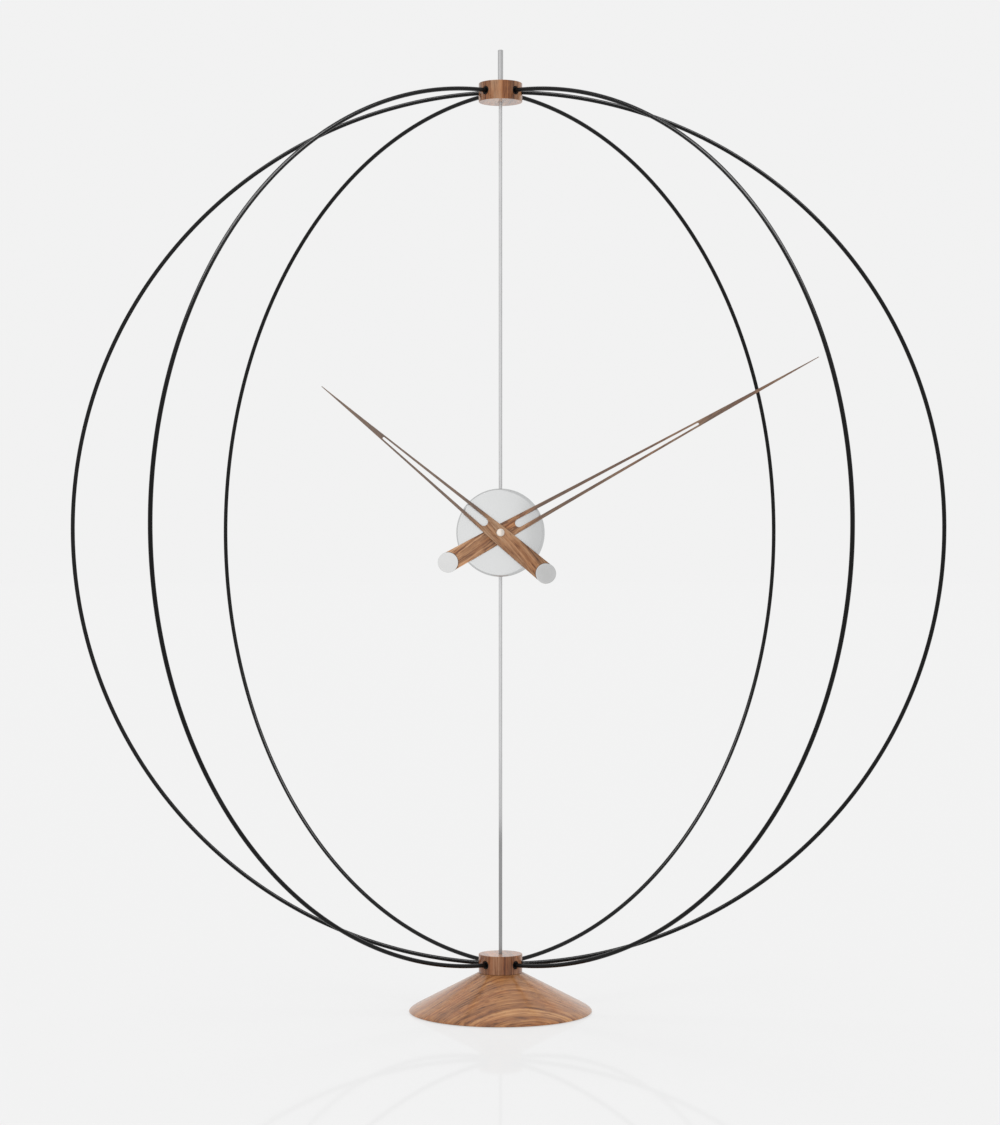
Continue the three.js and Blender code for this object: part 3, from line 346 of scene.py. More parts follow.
def plate(loops, front, back, edge, place, steps=3):
    """A flat board in the dial plane with softened edges.

    The loops are its outline and its holes, each with the board on its left.
    """
    levels = []
    for k in range(steps + 1):
        turn = math.pi / 2 * k / steps
        levels.append((edge * (1 - math.sin(turn)), back - edge * (1 - math.cos(turn))))
    levels += [(depth, front + back - along) for depth, along in reversed(levels)]
    vertices, faces = [], []
    starts = []
    for depth, along in levels:
        starts.append([])
        for loop in loops:
            starts[-1].append(len(vertices))
            vertices += [place @ Vector((p.x, along, p.y)) for p in inset(loop, depth)]
    for lower, upper in zip(starts, starts[1:]):
        for loop, a, b in zip(loops, lower, upper):
            count = len(loop)
            for k in range(count):
                n = (k + 1) % count
                faces.append((a + k, a + n, b + n, b + k))
    for level, start in ((levels[0], starts[0]), (levels[-1], starts[-1])):
        flat = [[p.to_3d() for p in inset(loop, level[0])] for loop in loops]
        faces += [tuple(start[0] + i for i in triangle) for triangle in tessellate_polygon(flat)]
    return mesh_of(vertices, faces)


def carved(mesh, *cutters):
    """The mesh with the cutter meshes taken out of it."""
    blank = bpy.data.objects.new("blank", mesh)
    bpy.context.collection.objects.link(blank)
    tools = []
    for cutter in cutters:
        tool = bpy.data.objects.new("cutter", cutter)
        bpy.context.collection.objects.link(tool)
        tools.append(tool)
        modifier = blank.modifiers.new("cut", "BOOLEAN")
        modifier.operation = "DIFFERENCE"
        modifier.solver = "MANIFOLD"
        modifier.object = tool
    graph = bpy.context.evaluated_depsgraph_get()
    result = bpy.data.meshes.new_from_object(blank.evaluated_get(graph))
    for thing in (blank, *tools):
        data = thing.data
        bpy.data.objects.remove(thing)
        bpy.data.meshes.remove(data)
    result.materials.clear()
    return result


def arc(centre, radius, start, end, count):
    """Points along a circular arc, in degrees."""
    points = []
    for k in range(count + 1):
        turn = math.radians(start + (end - start) * k / count)
        points.append(Vector((centre[0] + radius * math.cos(turn), centre[1] + radius * math.sin(turn))))
    return points


def round_hole(centre, radius, count):
    """A closed 2D ring of points, clockwise."""
    points = []
    for k in range(count):
        turn = -2 * math.pi * k / count
        points.append(Vector((centre[0] + radius * math.cos(turn), centre[1] + radius * math.sin(turn))))
    return points


# Material helpers

class Finish:
    """A node material that is built one node at a time."""

    def __init__(self, name):
        self.material = bpy.data.materials.new(name)
        self.material.use_nodes = True
        self.tree = self.material.node_tree
        self.tree.nodes.clear()
        self.output = self.tree.nodes.new("ShaderNodeOutputMaterial")
        self.where = self.node("TexCoord").outputs["Object"]

    def node(self, kind, inputs=None, **settings):
        made = self.tree.nodes.new("ShaderNode" + kind)
        for key, value in settings.items():
            setattr(made, key, value)
        for key, value in (inputs or {}).items():
            self.put(made.inputs[key], value)
        return made

    def put(self, socket, value):
        if isinstance(value, bpy.types.NodeSocket):
            self.tree.links.new(value, socket)
        else:
            socket.default_value = value

    def maths(self, operation, *values):
        return self.node("Math", dict(enumerate(values)), operation=operation).outputs[0]

    def vector(self, operation, *values):
        return self.node("VectorMath", dict(enumerate(values)), operation=operation).outputs[0]

    def vector_value(self, operation, *values):
        return self.node("VectorMath", dict(enumerate(values)), operation=operation).outputs[1]

    def joined(self, x, y=0.0, z=0.0):
        return self.node("CombineXYZ", {0: x, 1: y, 2: z}).outputs[0]

    def height(self):
        return self.node("SeparateXYZ", {0: self.where}).outputs[2]

    def noise(self, vector, cells, detail=2.0, rough=0.5):
        """Noise with so many cells per metre along each axis."""
        place = self.vector("MULTIPLY", vector, cells)
        inputs = {"Vector": place, "Scale": 1.0, "Detail": detail, "Roughness": rough}
        return self.node("TexNoise", inputs).outputs[0]

    def spread(self, value, low, high, new_low=0.0, new_high=1.0):
        inputs = {0: value, 1: low, 2: high, 3: new_low, 4: new_high}
        return self.node("MapRange", inputs, clamp=True).outputs[0]

    def smooth(self, value, low, high, lift):
        """From 0 at low to lift at high, with an easy start and end."""
        inputs = {0: value, 1: low, 2: high, 3: 0.0, 4: lift}
        return self.node("MapRange", inputs, clamp=True, interpolation_type="SMOOTHSTEP").outputs[0]

    def ramp(self, value, stops, ease="LINEAR"):
        made = self.node("ValToRGB", {0: value})
        made.color_ramp.interpolation = ease
        band = made.color_ramp.elements
        while len(band) < len(stops):
            band.new(0.5)
        for element, (spot, colour) in zip(band, stops):
            element.position = spot
            element.color = (*colour, 1)
        return made.outputs[0]

    def blend(self, share, first, second):
        made = self.node("Mix", data_type="RGBA")
        self.put(made.inputs[0], share)
        self.put(made.inputs[6], first)
        self.put(made.inputs[7], second)
        return made.outputs[2]

    def clouded(self, colour, cells, low, high):
        """The colour with slow changes of strength between low and high."""
        cloud = self.noise(self.where, grey(cells), detail=3.0)
        strength = self.spread(cloud, 0.3, 0.7, low, high)
        return self.vector("MULTIPLY", self.joined(strength, strength, strength), colour)

    def bump(self, height, strength, distance):
        inputs = {"Height": height, "Strength": strength, "Distance": distance}
        return self.node("Bump", inputs).outputs[0]

    def shader(self, **sockets):
        names = {key.replace("_", " "): value for key, value in sockets.items()}
        made = self.node("BsdfPrincipled", names)
        self.tree.links.new(made.outputs[0], self.output.inputs[0])
        return self.material


def grey(value):
    return (value, value, value)


def scaled(colour, factors):
    return tuple(value * factor for value, factor in zip(colour, factors))


# Walnut. Noise cells per metre run along the fibres, across the rings, and along the rings.
SWAY_CELLS = (9.0, 16.0, 12.0)
RING_STRENGTH_CELLS = (7.0, 110.0, 14.0)
ZONE_CELLS = (5.0, 85.0, 18.0)
HAIR_CELLS = (16.0, 620.0, 75.0)
MIST_CELLS = (60.0, 160.0, 160.0)
FLECK_CELLS_ACROSS = (620.0, 300.0)
GLOW_CELLS = (16.0, 90.0, 50.0)
PORE_CELLS = (130.0, 1900.0, 900.0)

# How dark one ring is, from its early wood to its late wood
RING_STOPS = (
    (0.0, grey(0.5)), (0.10, grey(0.05)), (0.30, grey(0.0)), (0.62, grey(0.30)), (0.86, grey(0.85)),
    (0.95, grey(1.0)), (1.0, grey(0.5)),
)
RING_WIDTH_CELLS_PER_MM = 0.13
RING_WIDTH_CHANGE = 3.0
RING_SHIFT = 40
RING_MEAN = 0.34

# What the tone makes of the mean colour, from the darkest to the palest
WOOD_STOPS = (
    (0.0, (0.40, 0.33, 0.32)),
    (0.25, (0.72, 0.66, 0.60)),
    (0.5, (1.0, 1.0, 1.0)),
    (0.75, (1.30, 1.42, 1.55)),
    (1.0, (1.60, 1.95, 2.40)),
)
WARM_TINT = (1.16, 0.93, 0.70)
PORE_TINT = (0.2, 0.15, 0.15)
HEART_TONE = 0.20
HEART_TONE_LENGTH = 60.0
HEART_SHARE = 0.72
HEART_LENGTH = 45.0


class Walnut(Finish):
    """Varnished walnut. grain runs along the fibres and layers across the growth rings.

    shift chooses the part of the log. lean turns the figure in the dial plane, in degrees.
    """

    def __init__(self, name, grain, layers, shift, waver, lean):
        super().__init__(name)
        self.shift = shift
        self.long_way = Vector(grain).normalized()
        self.wide_way = Vector(layers).normalized()
        leaning = Matrix.Rotation(-math.radians(lean), 3, "Y")
        fibres, rings = leaning @ self.long_way, leaning @ self.wide_way
        along = self.vector_value("DOT_PRODUCT", self.where, fibres)
        across = self.vector_value("DOT_PRODUCT", self.where, rings)
        aside = self.vector_value("DOT_PRODUCT", self.where, fibres.cross(rings))
        log = self.vector("ADD", self.joined(along, across, aside), shift)
        sway = self.maths("MULTIPLY", self.centred(self.noise(log, SWAY_CELLS)), waver)
        self.depth = self.maths("ADD", self.maths("MULTIPLY", across, 1 / MM), sway)
        layer = self.joined(along, self.maths("MULTIPLY", self.depth, MM), aside)
        self.layer = self.vector("ADD", layer, shift)

    def centred(self, noise):
        return self.maths("SUBTRACT", noise, 0.5)

    def ring_lines(self, pitch):
        """How dark the rings are, with a mean width of pitch mm."""
        place = self.joined(
            self.maths("MULTIPLY", self.depth, RING_WIDTH_CELLS_PER_MM),
            self.shift[1] * RING_SHIFT,
            self.shift[2] * RING_SHIFT,
        )
        widths = self.noise(place, grey(1.0), detail=1.0)
        widths = self.maths("MULTIPLY", widths, RING_WIDTH_CHANGE)
        count = self.maths("ADD", self.maths("DIVIDE", self.depth, pitch), widths)
        late = self.ramp(self.maths("FRACT", count), RING_STOPS)
        strength = self.noise(self.layer, RING_STRENGTH_CELLS, detail=1.0)
        return self.maths("MULTIPLY", late, self.spread(strength, 0.34, 0.64, 0.2, 1.0))

    def from_hub(self, way):
        """The distance from the hub along a way, in mm."""
        place = self.vector("SUBTRACT", self.where, Vector(HUB) * MM)
        return self.maths("MULTIPLY", self.vector_value("DOT_PRODUCT", place, way), 1 / MM)

    def banded(self, tone, bands):
        """The tone with (depth across the rings in mm, half width, lift) stripes. On the collars the outer
        bands are painted light and painted shade.
        """
        for centre, half, lift in bands:
            away = self.maths("ABSOLUTE", self.maths("SUBTRACT", self.depth, centre))
            tone = self.maths("ADD", tone, self.smooth(away, half * 1.6, half * 0.3, lift))
        return tone

    def streaked(self, tone, streaks):
        """The tone with (along, across, half length, half width, lift) patches in mm from the hub. On the
        base and the minute hand these patches are painted light and shade.
        """
        out, over = self.from_hub(self.long_way), self.from_hub(self.wide_way)
        for middle, side, half_long, half_wide, lift in streaks:
            away = self.maths("ABSOLUTE", self.maths("SUBTRACT", out, middle))
            beside = self.maths("ABSOLUTE", self.maths("SUBTRACT", over, side))
            near = self.smooth(away, half_long * 1.4, half_long * 0.4, 1.0)
            patch = self.smooth(beside, half_wide * 1.5, half_wide * 0.3, lift)
            tone = self.maths("ADD", tone, self.maths("MULTIPLY", near, patch))
        return tone


def walnut(name, colour, grain, layers, shift, pitch, waver, lines, zones, fine, dashes=0.3, dash_pitch=48.0,
           warmth=0.85, gloss=1.3, coat_rough=0.12, bands=(), streaks=(), lean=0.0, dark_from=None,
           heartwood=None):
    """Varnished walnut of a mean colour, with its figure as strong as lines, zones, fine and dashes say.

    dark_from is the distance from the hub in mm where the darker heartwood of a blade begins.
    """
    look = Walnut(name, grain, layers, shift, waver, lean)
    hairs = look.noise(look.layer, HAIR_CELLS, detail=3.0, rough=0.6)
    wide = look.noise(look.layer, ZONE_CELLS, detail=3.0)
    mist = look.noise(look.layer, MIST_CELLS, detail=3.0, rough=0.6)
    tone = look.maths("MULTIPLY_ADD", look.centred(wide), 3.2 * zones, 0.5)
    tone = look.maths("MULTIPLY_ADD", look.centred(hairs), 2.6 * fine, tone)
    tone = look.maths("MULTIPLY_ADD", look.centred(mist), 1.1 * fine, tone)
    late = look.maths("SUBTRACT", look.ring_lines(pitch), RING_MEAN)
    tone = look.maths("MULTIPLY_ADD", late, -0.75 * lines, tone)
    tone = look.banded(tone, bands)
    flecks = look.noise(look.layer, (dash_pitch, *FLECK_CELLS_ACROSS))
    tone = look.maths("MULTIPLY_ADD", look.spread(flecks, 0.56, 0.68), -dashes, tone)
    tone = look.streaked(tone, streaks)
    if dark_from is not None:
        out = look.from_hub(look.long_way)
        fall = look.smooth(out, dark_from, dark_from + HEART_TONE_LENGTH, HEART_TONE)
        tone = look.maths("SUBTRACT", tone, fall)
    body = look.ramp(tone, [(spot, scaled(colour, factors)) for spot, factors in WOOD_STOPS])
    glow = look.noise(look.layer, GLOW_CELLS)
    share = look.spread(glow, 0.48, 0.66, 0.0, warmth)
    body = look.blend(share, body, look.vector("MULTIPLY", body, WARM_TINT))
    if dark_from is not None:
        share = look.smooth(out, dark_from, dark_from + HEART_LENGTH, HEART_SHARE)
        body = look.blend(share, body, (*heartwood, 1))
    hole = look.spread(look.noise(look.layer, PORE_CELLS, detail=1.0), 0.63, 0.72)
    body = look.blend(look.maths("MULTIPLY", hole, 0.5), body, (*scaled(colour, PORE_TINT), 1))
    relief = look.maths("SUBTRACT", look.maths("MULTIPLY", hairs, 0.5), hole)
    return look.shader(
        Base_Color=body,
        Roughness=look.spread(hairs, 0.25, 0.75, 0.26, 0.36),
        IOR=gloss,
        Coat_Weight=0.7,
        Coat_IOR=gloss,
        Coat_Roughness=coat_rough,
        Normal=look.bump(relief, 0.12, 0.00015),
    )


def collar_walnut(name, colour, shift, pale, dark):
    """Upright grain; pale and dark are the lifts of its left and right bands, which are painted light on the
    collar's left side and painted shade on its right.
    """
    return walnut(
        name, colour, grain=(0, 0, 1), layers=(1, 0.15, 0), shift=shift,
        pitch=4.2, waver=1.5, lines=0.6, zones=0.3, fine=0.7,
        # The bands at -9 mm and 10 mm are painted light and painted shade: the collar's left side lighter
        # and its right side darker, as if lit from the left.
        bands=((-9.0, 6.0, pale), (2.0, 1.8, -0.26), (5.6, 1.2, 0.10), (10.0, 2.8, dark)),
    )


def blade_walnut(name, colour, hand, shift, **figure):
    """Grain along a hand."""
    return walnut(
        name, colour, grain=dial_way(hand["angle"]), layers=dial_way(hand["angle"] + 90), shift=shift,
        pitch=4.6, waver=11.0, lines=0.32, fine=0.8, dash_pitch=85.0, **figure,
    )


def dial_way(angle):
    """A unit vector in the dial plane, counted from +X towards +Z."""
    return (math.cos(math.radians(angle)), 0, math.sin(math.radians(angle)))


# Other finishes. Painted shade on metal starts so many metres above its height and is full so many metres
# below it.
PAINTED_SHADE_START_ABOVE = 0.025
PAINTED_SHADE_FULL_BELOW = 0.015
PAINTED_SHADE_TINT = 0.60
ROD_PAINTED_SHADE_BELOW = 0.205


def metal(name, colour, rough, marks, wear=0.06, painted_shade_below=None):
    """Worked metal with marks per metre along each axis.

    Below the height in its last argument, in metres, the surface is darker with painted shade.
    """
    look = Finish(name)
    skin = look.noise(look.where, marks, detail=4.0, rough=0.6)
    body = look.clouded(colour, 28.0, 1 - wear, 1 + wear * 0.4)
    if painted_shade_below is not None:
        start, full = painted_shade_below + PAINTED_SHADE_START_ABOVE, painted_shade_below - PAINTED_SHADE_FULL_BELOW
        # Painted shade: the metal is darker towards the bottom, below that height.
        share = look.smooth(look.height(), start, full, 1.0)
        body = look.blend(share, body, look.vector("MULTIPLY", body, grey(PAINTED_SHADE_TINT)))
    return look.shader(
        Base_Color=body,
        Metallic=1.0,
        Roughness=look.spread(skin, 0.25, 0.75, rough * 0.8, rough * 1.2),
        Normal=look.bump(skin, 0.05, 0.00005),
    )


def lathe_metal(name, colour, rough, centre, grooves=5200.0):
    """Metal faced on a lathe: fine rings round a centre line along Y, so many grooves per metre."""
    look = Finish(name)
    radial = look.vector("MULTIPLY", look.vector("SUBTRACT", look.where, centre), (1.0, 0.0, 1.0))
    radius = look.vector_value("LENGTH", radial)
    rings = look.noise(look.joined(radius), (grooves, 1.0, 1.0), detail=3.0, rough=0.65)
    return look.shader(
        Base_Color=look.clouded(colour, 45.0, 0.95, 1.03),
        Metallic=1.0,
        Roughness=look.spread(rings, 0.3, 0.7, rough * 0.85, rough * 1.2),
        Normal=look.bump(rings, 0.04, 0.00004),
    )


def moulded(name, colour, rough, grain=1400.0, vary=0.12, strength=0.12, level=0.5):
    """Moulded or sprayed material with a fine skin."""
    look = Finish(name)
    skin = look.noise(look.where, grey(grain), detail=3.0)
    return look.shader(
        Base_Color=look.clouded(colour, 38.0, 1 - vary, 1 + vary),
        Roughness=look.spread(skin, 0.3, 0.7, rough * 0.85, rough * 1.15),
        Normal=look.bump(skin, strength, 0.0001),
        Specular_IOR_Level=level,
    )


def felt_finish():
    look = Finish("felt_finish")
    fluff = look.noise(look.where, grey(1900.0), detail=5.0, rough=0.75)
    hairs = look.noise(look.where, (260.0, 4200.0, 4200.0))
    mixed = look.maths("ADD", fluff, look.maths("MULTIPLY", hairs, 0.5))
    colour = look.ramp(look.spread(mixed, 0.55, 0.95), (
        (0.0, (0.008, 0.0075, 0.007)),
        (0.6, (0.022, 0.02, 0.018)),
        (1.0, (0.06, 0.055, 0.05)),
    ))
    return look.shader(
        Base_Color=colour,
        Roughness=0.95,
        Sheen_Weight=0.35,
        Sheen_Roughness=0.6,
        Normal=look.bump(mixed, 0.6, 0.0004),
    )


def board_finish():
    """Green circuit board with pale tracks between its cells."""
    look = Finish("board_finish")
    place = look.vector("MULTIPLY", look.where, grey(420.0))
    cells = look.node("TexVoronoi", {"Vector": place, "Scale": 1.0}, feature="DISTANCE_TO_EDGE").outputs[0]
    track = look.spread(cells, 0.05, 0.09)
    colour = look.blend(track, (0.045, 0.17, 0.06, 1), (0.012, 0.075, 0.026, 1))
    return look.shader(Base_Color=colour, Roughness=0.38, Normal=look.bump(track, 0.2, 0.00006))


def copper_finish(wire=0.00022):
    """Wire wound round an upright coil."""
    look = Finish("copper_finish")
    turns = look.maths("SINE", look.maths("MULTIPLY", look.height(), 2 * math.pi / wire))
    glow = look.noise(look.where, grey(600.0))
    colour = look.blend(glow, (0.42, 0.14, 0.05, 1), (0.62, 0.26, 0.11, 1))
    return look.shader(Base_Color=colour, Metallic=0.9, Roughness=0.32, Normal=look.bump(turns, 0.5, 0.0001))


def cell_finish(half_length=25.3):
    """A plain jacket in two greys with a bare top."""
    look = Finish("cell_finish")
    offset = look.maths("MULTIPLY", look.maths("SUBTRACT", look.height(), HUB_HEIGHT * MM), 1 / MM)
    pale, dark, cap, bare = (0.30, 0.31, 0.32), (0.03, 0.032, 0.036), (0.26, 0.27, 0.28), grey(0.6)
    jacket = look.ramp(look.spread(offset, -half_length, half_length), (
        (0.0, pale), (0.015, pale), (0.02, dark), (0.72, dark), (0.725, cap), (0.965, cap),
        (0.97, bare), (1.0, bare),
    ), "CONSTANT")
    scuff = look.noise(look.where, (500.0, 500.0, 90.0), detail=3.0)
    return look.shader(
        Base_Color=jacket,
        Metallic=0.35,
        Roughness=look.spread(scuff, 0.3, 0.7, 0.26, 0.42),
        Normal=look.bump(scuff, 0.05, 0.00005),
    )


# The finishes. Each walnut piece is cut from its own part of the log.
base_wood = walnut(
    "walnut_base", (0.338, 0.142, 0.047),
    grain=(0.961, 0.276, 0.0), layers=(-0.259, 0.903, -0.342), shift=(0.40, 0.31, 0.17),
    pitch=9.0, waver=10.0, lines=0.34, zones=0.27, fine=0.62, dashes=0.36,
    warmth=0.4, gloss=1.38, coat_rough=0.24,
    # These two patches are painted shade on the cone's left and painted light on its right, as if it were
    # lit more from the right.
    streaks=((-74.0, 141.0, 45.0, 45.0, -0.13), (45.0, 112.0, 45.0, 40.0, 0.07)),
    bands=(
        (-80.0, 1.0, 0.34), (-83.6, 0.7, 0.26), (-77.0, 1.6, -0.16), (-82.0, 0.6, -0.10),
        (-88.0, 3.0, -0.12), (-50.0, 1.2, -0.2),
    ),
)
# pale and dark set each collar's painted light on its left and painted shade on its right.
lower_wood = collar_walnut(
    "walnut_lower_collar", (0.255, 0.103, 0.044), shift=(0.13, 0.05, 0.03), pale=0.34, dark=-0.30)
upper_wood = collar_walnut(
    "walnut_upper_collar", (0.275, 0.124, 0.056), shift=(0.41, 0.07, -0.02), pale=0.30, dark=-0.34)
minute_wood = blade_walnut(
    "walnut_minute_hand", (0.490, 0.252, 0.124), MINUTE_HAND, shift=(0.3, 0.06, 0.25),
    zones=0.42, dashes=0.55, lean=7.0,
    # These two patches are the painted shadow of the hour hand on the minute hand, beside where the hands
    # cross.
    streaks=((-21.0, 10.6, 7.0, 2.4, -0.6), (5.0, 9.6, 9.0, 2.6, -0.5)),
    dark_from=10.0, heartwood=(0.140, 0.108, 0.090),
)
hour_wood = blade_walnut(
    "walnut_hour_hand", (0.292, 0.147, 0.071), HOUR_HAND, shift=(0.7, 0.09, 0.12),
    zones=0.30, dashes=0.5, warmth=0.7, lean=-9.0,
    streaks=((37.0, -7.0, 6.0, 2.2, -0.8), (2.0, 0.0, 20.0, 12.0, 0.38)),
    dark_from=12.0, heartwood=(0.190, 0.150, 0.125),
)
hoop_finish = moulded(
    "black_lacquer", (0.0030, 0.0030, 0.0032), 0.27, grain=900.0, vary=0.2, strength=0.05, level=0.16)
socket_finish = moulded("socket_plastic", (0.0030, 0.0028, 0.0027), 0.6, grain=2400.0, level=0.2)
# The rod gets painted shade, darker towards its bottom.
rod_finish = metal(
    "drawn_steel", (0.570, 0.570, 0.573), 0.30, (5200.0, 5200.0, 60.0), painted_shade_below=ROD_PAINTED_SHADE_BELOW)
finial_finish = metal("turned_steel", (0.480, 0.480, 0.483), 0.34, (900.0, 900.0, 5200.0))
case_finish = metal("case_satin", (0.583, 0.588, 0.588), 0.18, grey(1500.0), wear=0.02)
steel_finish = metal("plain_steel", (0.56, 0.56, 0.57), 0.36, grey(1500.0))
brass_finish = metal("worked_brass", (0.62, 0.41, 0.14), 0.3, grey(1800.0))
dark_steel_finish = metal("black_oxide", (0.045, 0.045, 0.05), 0.42, grey(1800.0), wear=0.2)
cap_finish = metal("cap_metal", (0.725, 0.655, 0.59), 0.30, grey(1500.0), wear=0.03)
case_plastic = moulded("black_case_plastic", (0.022, 0.022, 0.024), 0.5, grain=1700.0, strength=0.25)
white_plastic = moulded("white_plastic", (0.72, 0.71, 0.67), 0.42, grain=1500.0, vary=0.03)
felt = felt_finish()
board = board_finish()
copper = copper_finish()
jacket = cell_finish()


# Base, collars, rod and finial

def base_mesh():
    neck = Vector((COLLAR_RADIUS, CONE_HEIGHT))
    corner = Vector((BASE_RADIUS, RIM_CORNER_HEIGHT))
    foot = Vector((BASE_RADIUS, RIM_FLOOR_GAP + RIM_FOOT_CHAMFER))
    shoulder = corner + (neck - corner).normalized() * RIM_ROUNDING
    rim = []
    for k in range(RIM_STEPS + 1):
        t = k / RIM_STEPS
        rim.append(tuple(foot * (1 - t) ** 2 + corner * (2 * t * (1 - t)) + shoulder * t ** 2))
    pad = PAD_RADIUS + FIT_GAP
    pad_top = PAD_THICKNESS + SEAT_GAP
    return turned([
        (ROD_BORE, RECESS_CEILING), (RECESS_RADIUS, RECESS_CEILING, RECESS_EDGE),
        (RECESS_RADIUS, pad_top), (pad, pad_top),
        (pad, RIM_FLOOR_GAP), (BASE_RADIUS - RIM_FOOT_CHAMFER, RIM_FLOOR_GAP),
        *rim, (COLLAR_RADIUS, CONE_HEIGHT, CONE_NECK_EDGE), (ROD_BORE, CONE_HEIGHT),
    ], segments=256)


def finial_mesh():
    return turned([
        (0, FINIAL_BORE_TOP), (ROD_BORE, FINIAL_BORE_TOP), (ROD_BORE, FINIAL_BOTTOM),
        (FINIAL_RADIUS, FINIAL_BOTTOM, FINIAL_FOOT_EDGE), (FINIAL_RADIUS, FINIAL_TOP, FINIAL_EDGE),
        (0, FINIAL_TOP),
    ], segments=64, closed=False)


def hoop_angles():
    return [angle + extra for angle, _ in HOOP_PLANES for extra in (0, 180)]


def hoop_names():
    return [name for _, names in HOOP_PLANES for name in names]


def standing(angle, height):
    """The place of a piece made along +X, turned round the rod's axis and lifted."""
    lift = Matrix.Translation((0, 0, height * MM))
    return lift @ Matrix.Rotation(math.radians(angle), 4, "Z")


def socket_cutter():
    floor_of_socket = COLLAR_RADIUS - SOCKET_DEPTH
    mouth = SOCKET_RADIUS + SOCKET_BEVEL
    outside = COLLAR_RADIUS + SOCKET_CUTTER_REACH
    return turned([
        (0, floor_of_socket), (SOCKET_RADIUS, floor_of_socket),
        (SOCKET_RADIUS, COLLAR_RADIUS - SOCKET_BEVEL_DEPTH), (mouth, COLLAR_RADIUS + SOCKET_BEVEL_PAST),
        (mouth, outside), (0, outside),
    ], axis="x", segments=56, closed=False)


def collar_mesh(height):
    bottom, top = height - COLLAR_HEIGHT / 2, height + COLLAR_HEIGHT / 2
    body = turned([
        (ROD_BORE, bottom, COLLAR_BORE_EDGE), (COLLAR_RADIUS, bottom, COLLAR_EDGE),
        (COLLAR_RADIUS, top, COLLAR_EDGE), (ROD_BORE, top, COLLAR_BORE_EDGE),
    ], segments=192)
    tools = []
    for angle in hoop_angles():
        tool = socket_cutter()
        tool.transform(standing(angle, height))
        tools.append(tool)
    return shade(carved(body, *tools))


def bush_mesh(angle, height):
    inside, outside = HOOP_ROD_RADIUS + FIT_GAP, SOCKET_RADIUS - FIT_GAP
    back, front = COLLAR_RADIUS - SOCKET_DEPTH + FIT_GAP, COLLAR_RADIUS - BUSH_RECESS
    bush = turned([
        (inside, back), (outside, back), (outside, front, BUSH_OUTER_EDGE), (inside, front, BUSH_INNER_EDGE),
    ], axis="x", segments=48)
    bush.transform(standing(angle, height))
    return bush


def hoop_mesh(angle, steps=260, sides=20):
    """One half hoop, round in section, from the upper socket to the lower one."""
    seat = COLLAR_RADIUS - SOCKET_DEPTH + FIT_GAP
    start = math.acos(COLLAR_RADIUS / HOOP_HALF_WIDTH)
    path = [Vector((seat, HOOP_END_DROP))]
    for k in range(steps + 1):
        turn = start * (1 - 2 * k / steps)
        path.append(Vector((HOOP_HALF_WIDTH * math.cos(turn), HOOP_HALF_HEIGHT * math.sin(turn))))
    path.append(Vector((seat, -HOOP_END_DROP)))
    vertices, faces = [], []
    for i, here in enumerate(path):
        along = (path[min(i + 1, len(path) - 1)] - path[max(i - 1, 0)]).normalized()
        side = Vector((along.y, -along.x))
        for k in range(sides):
            turn = 2 * math.pi * k / sides
            out = side * (HOOP_ROD_RADIUS * math.cos(turn))
            vertices.append(Vector((here.x + out.x, HOOP_ROD_RADIUS * math.sin(turn), here.y + out.y)))
    for i in range(len(path) - 1):
        for k in range(sides):
            n = (k + 1) % sides
            a, b = i * sides, (i + 1) * sides
            faces.append((a + k, a + n, b + n, b + k))
    last = (len(path) - 1) * sides
    faces.append(tuple(range(sides)))
    faces.append(tuple(last + k for k in range(sides)))
    hoop = shade(mesh_of(vertices, faces), angle=HOOP_SHARP_ANGLE)
    hoop.transform(standing(angle, HOOP_CENTRE))
    return hoop


make("walnut_base_cone", base_mesh(), base_wood, "stand", "base_cone", slot="walnut")
pad_mesh = turned(disc(PAD_RADIUS, 0, PAD_THICKNESS, PAD_EDGE), segments=192, closed=False)
make("felt_foot_pad", pad_mesh, felt, "stand", "foot_pad", slot="felt")
make("walnut_lower_collar", collar_mesh(LOWER_COLLAR), lower_wood, "stand", "lower_collar", slot="walnut")
make("walnut_upper_collar", collar_mesh(UPPER_COLLAR), upper_wood, "stand", "upper_collar", slot="walnut")
rod_mesh = turned(disc(ROD_RADIUS, ROD_BOTTOM, ROD_TOP, ROD_EDGE), segments=48, closed=False)
make("steel_centre_rod", rod_mesh, rod_finish, "stand", "centre_rod", slot="satin_steel")
make("steel_finial", finial_mesh(), finial_finish, "stand", "finial", slot="satin_steel")

hoops = []
for name, angle in zip(hoop_names(), hoop_angles()):
    hoops.append(make(f"black_hoop_{name}", hoop_mesh(angle), hoop_finish, "stand", f"hoop_{name}",
                      slot="hoop_black"))
    for level, height in (("upper", UPPER_COLLAR), ("lower", LOWER_COLLAR)):
        make(f"{level}_socket_bush_{name}", bush_mesh(angle, height), socket_finish, "stand",
             f"{level}_bush_{name}", slot="socket_black")


# Case

def drum_mesh():
    inside = DRUM_RADIUS - DRUM_WALL
    body = turned([
        (DRUM_HUB_HOLE, DRUM_FACE, DRUM_HUB_HOLE_EDGE), (DRUM_RADIUS, DRUM_FACE, DRUM_EDGE),
        (DRUM_RADIUS, DRUM_BACK, DRUM_BACK_EDGE), (inside, DRUM_BACK, DRUM_LIP_EDGE),
        (inside, DRUM_FACE + DRUM_WALL, DRUM_EDGE - DRUM_WALL), (DRUM_HUB_HOLE, DRUM_FACE + DRUM_WALL),
    ], axis="y", centre=HUB, segments=192, steps=10)
    reach = DRUM_RADIUS + CUTTER_REACH
    hole = turned(disc(ROD_BORE, -reach, reach), centre=HUB, segments=48, closed=False)
    return shade(carved(body, hole))


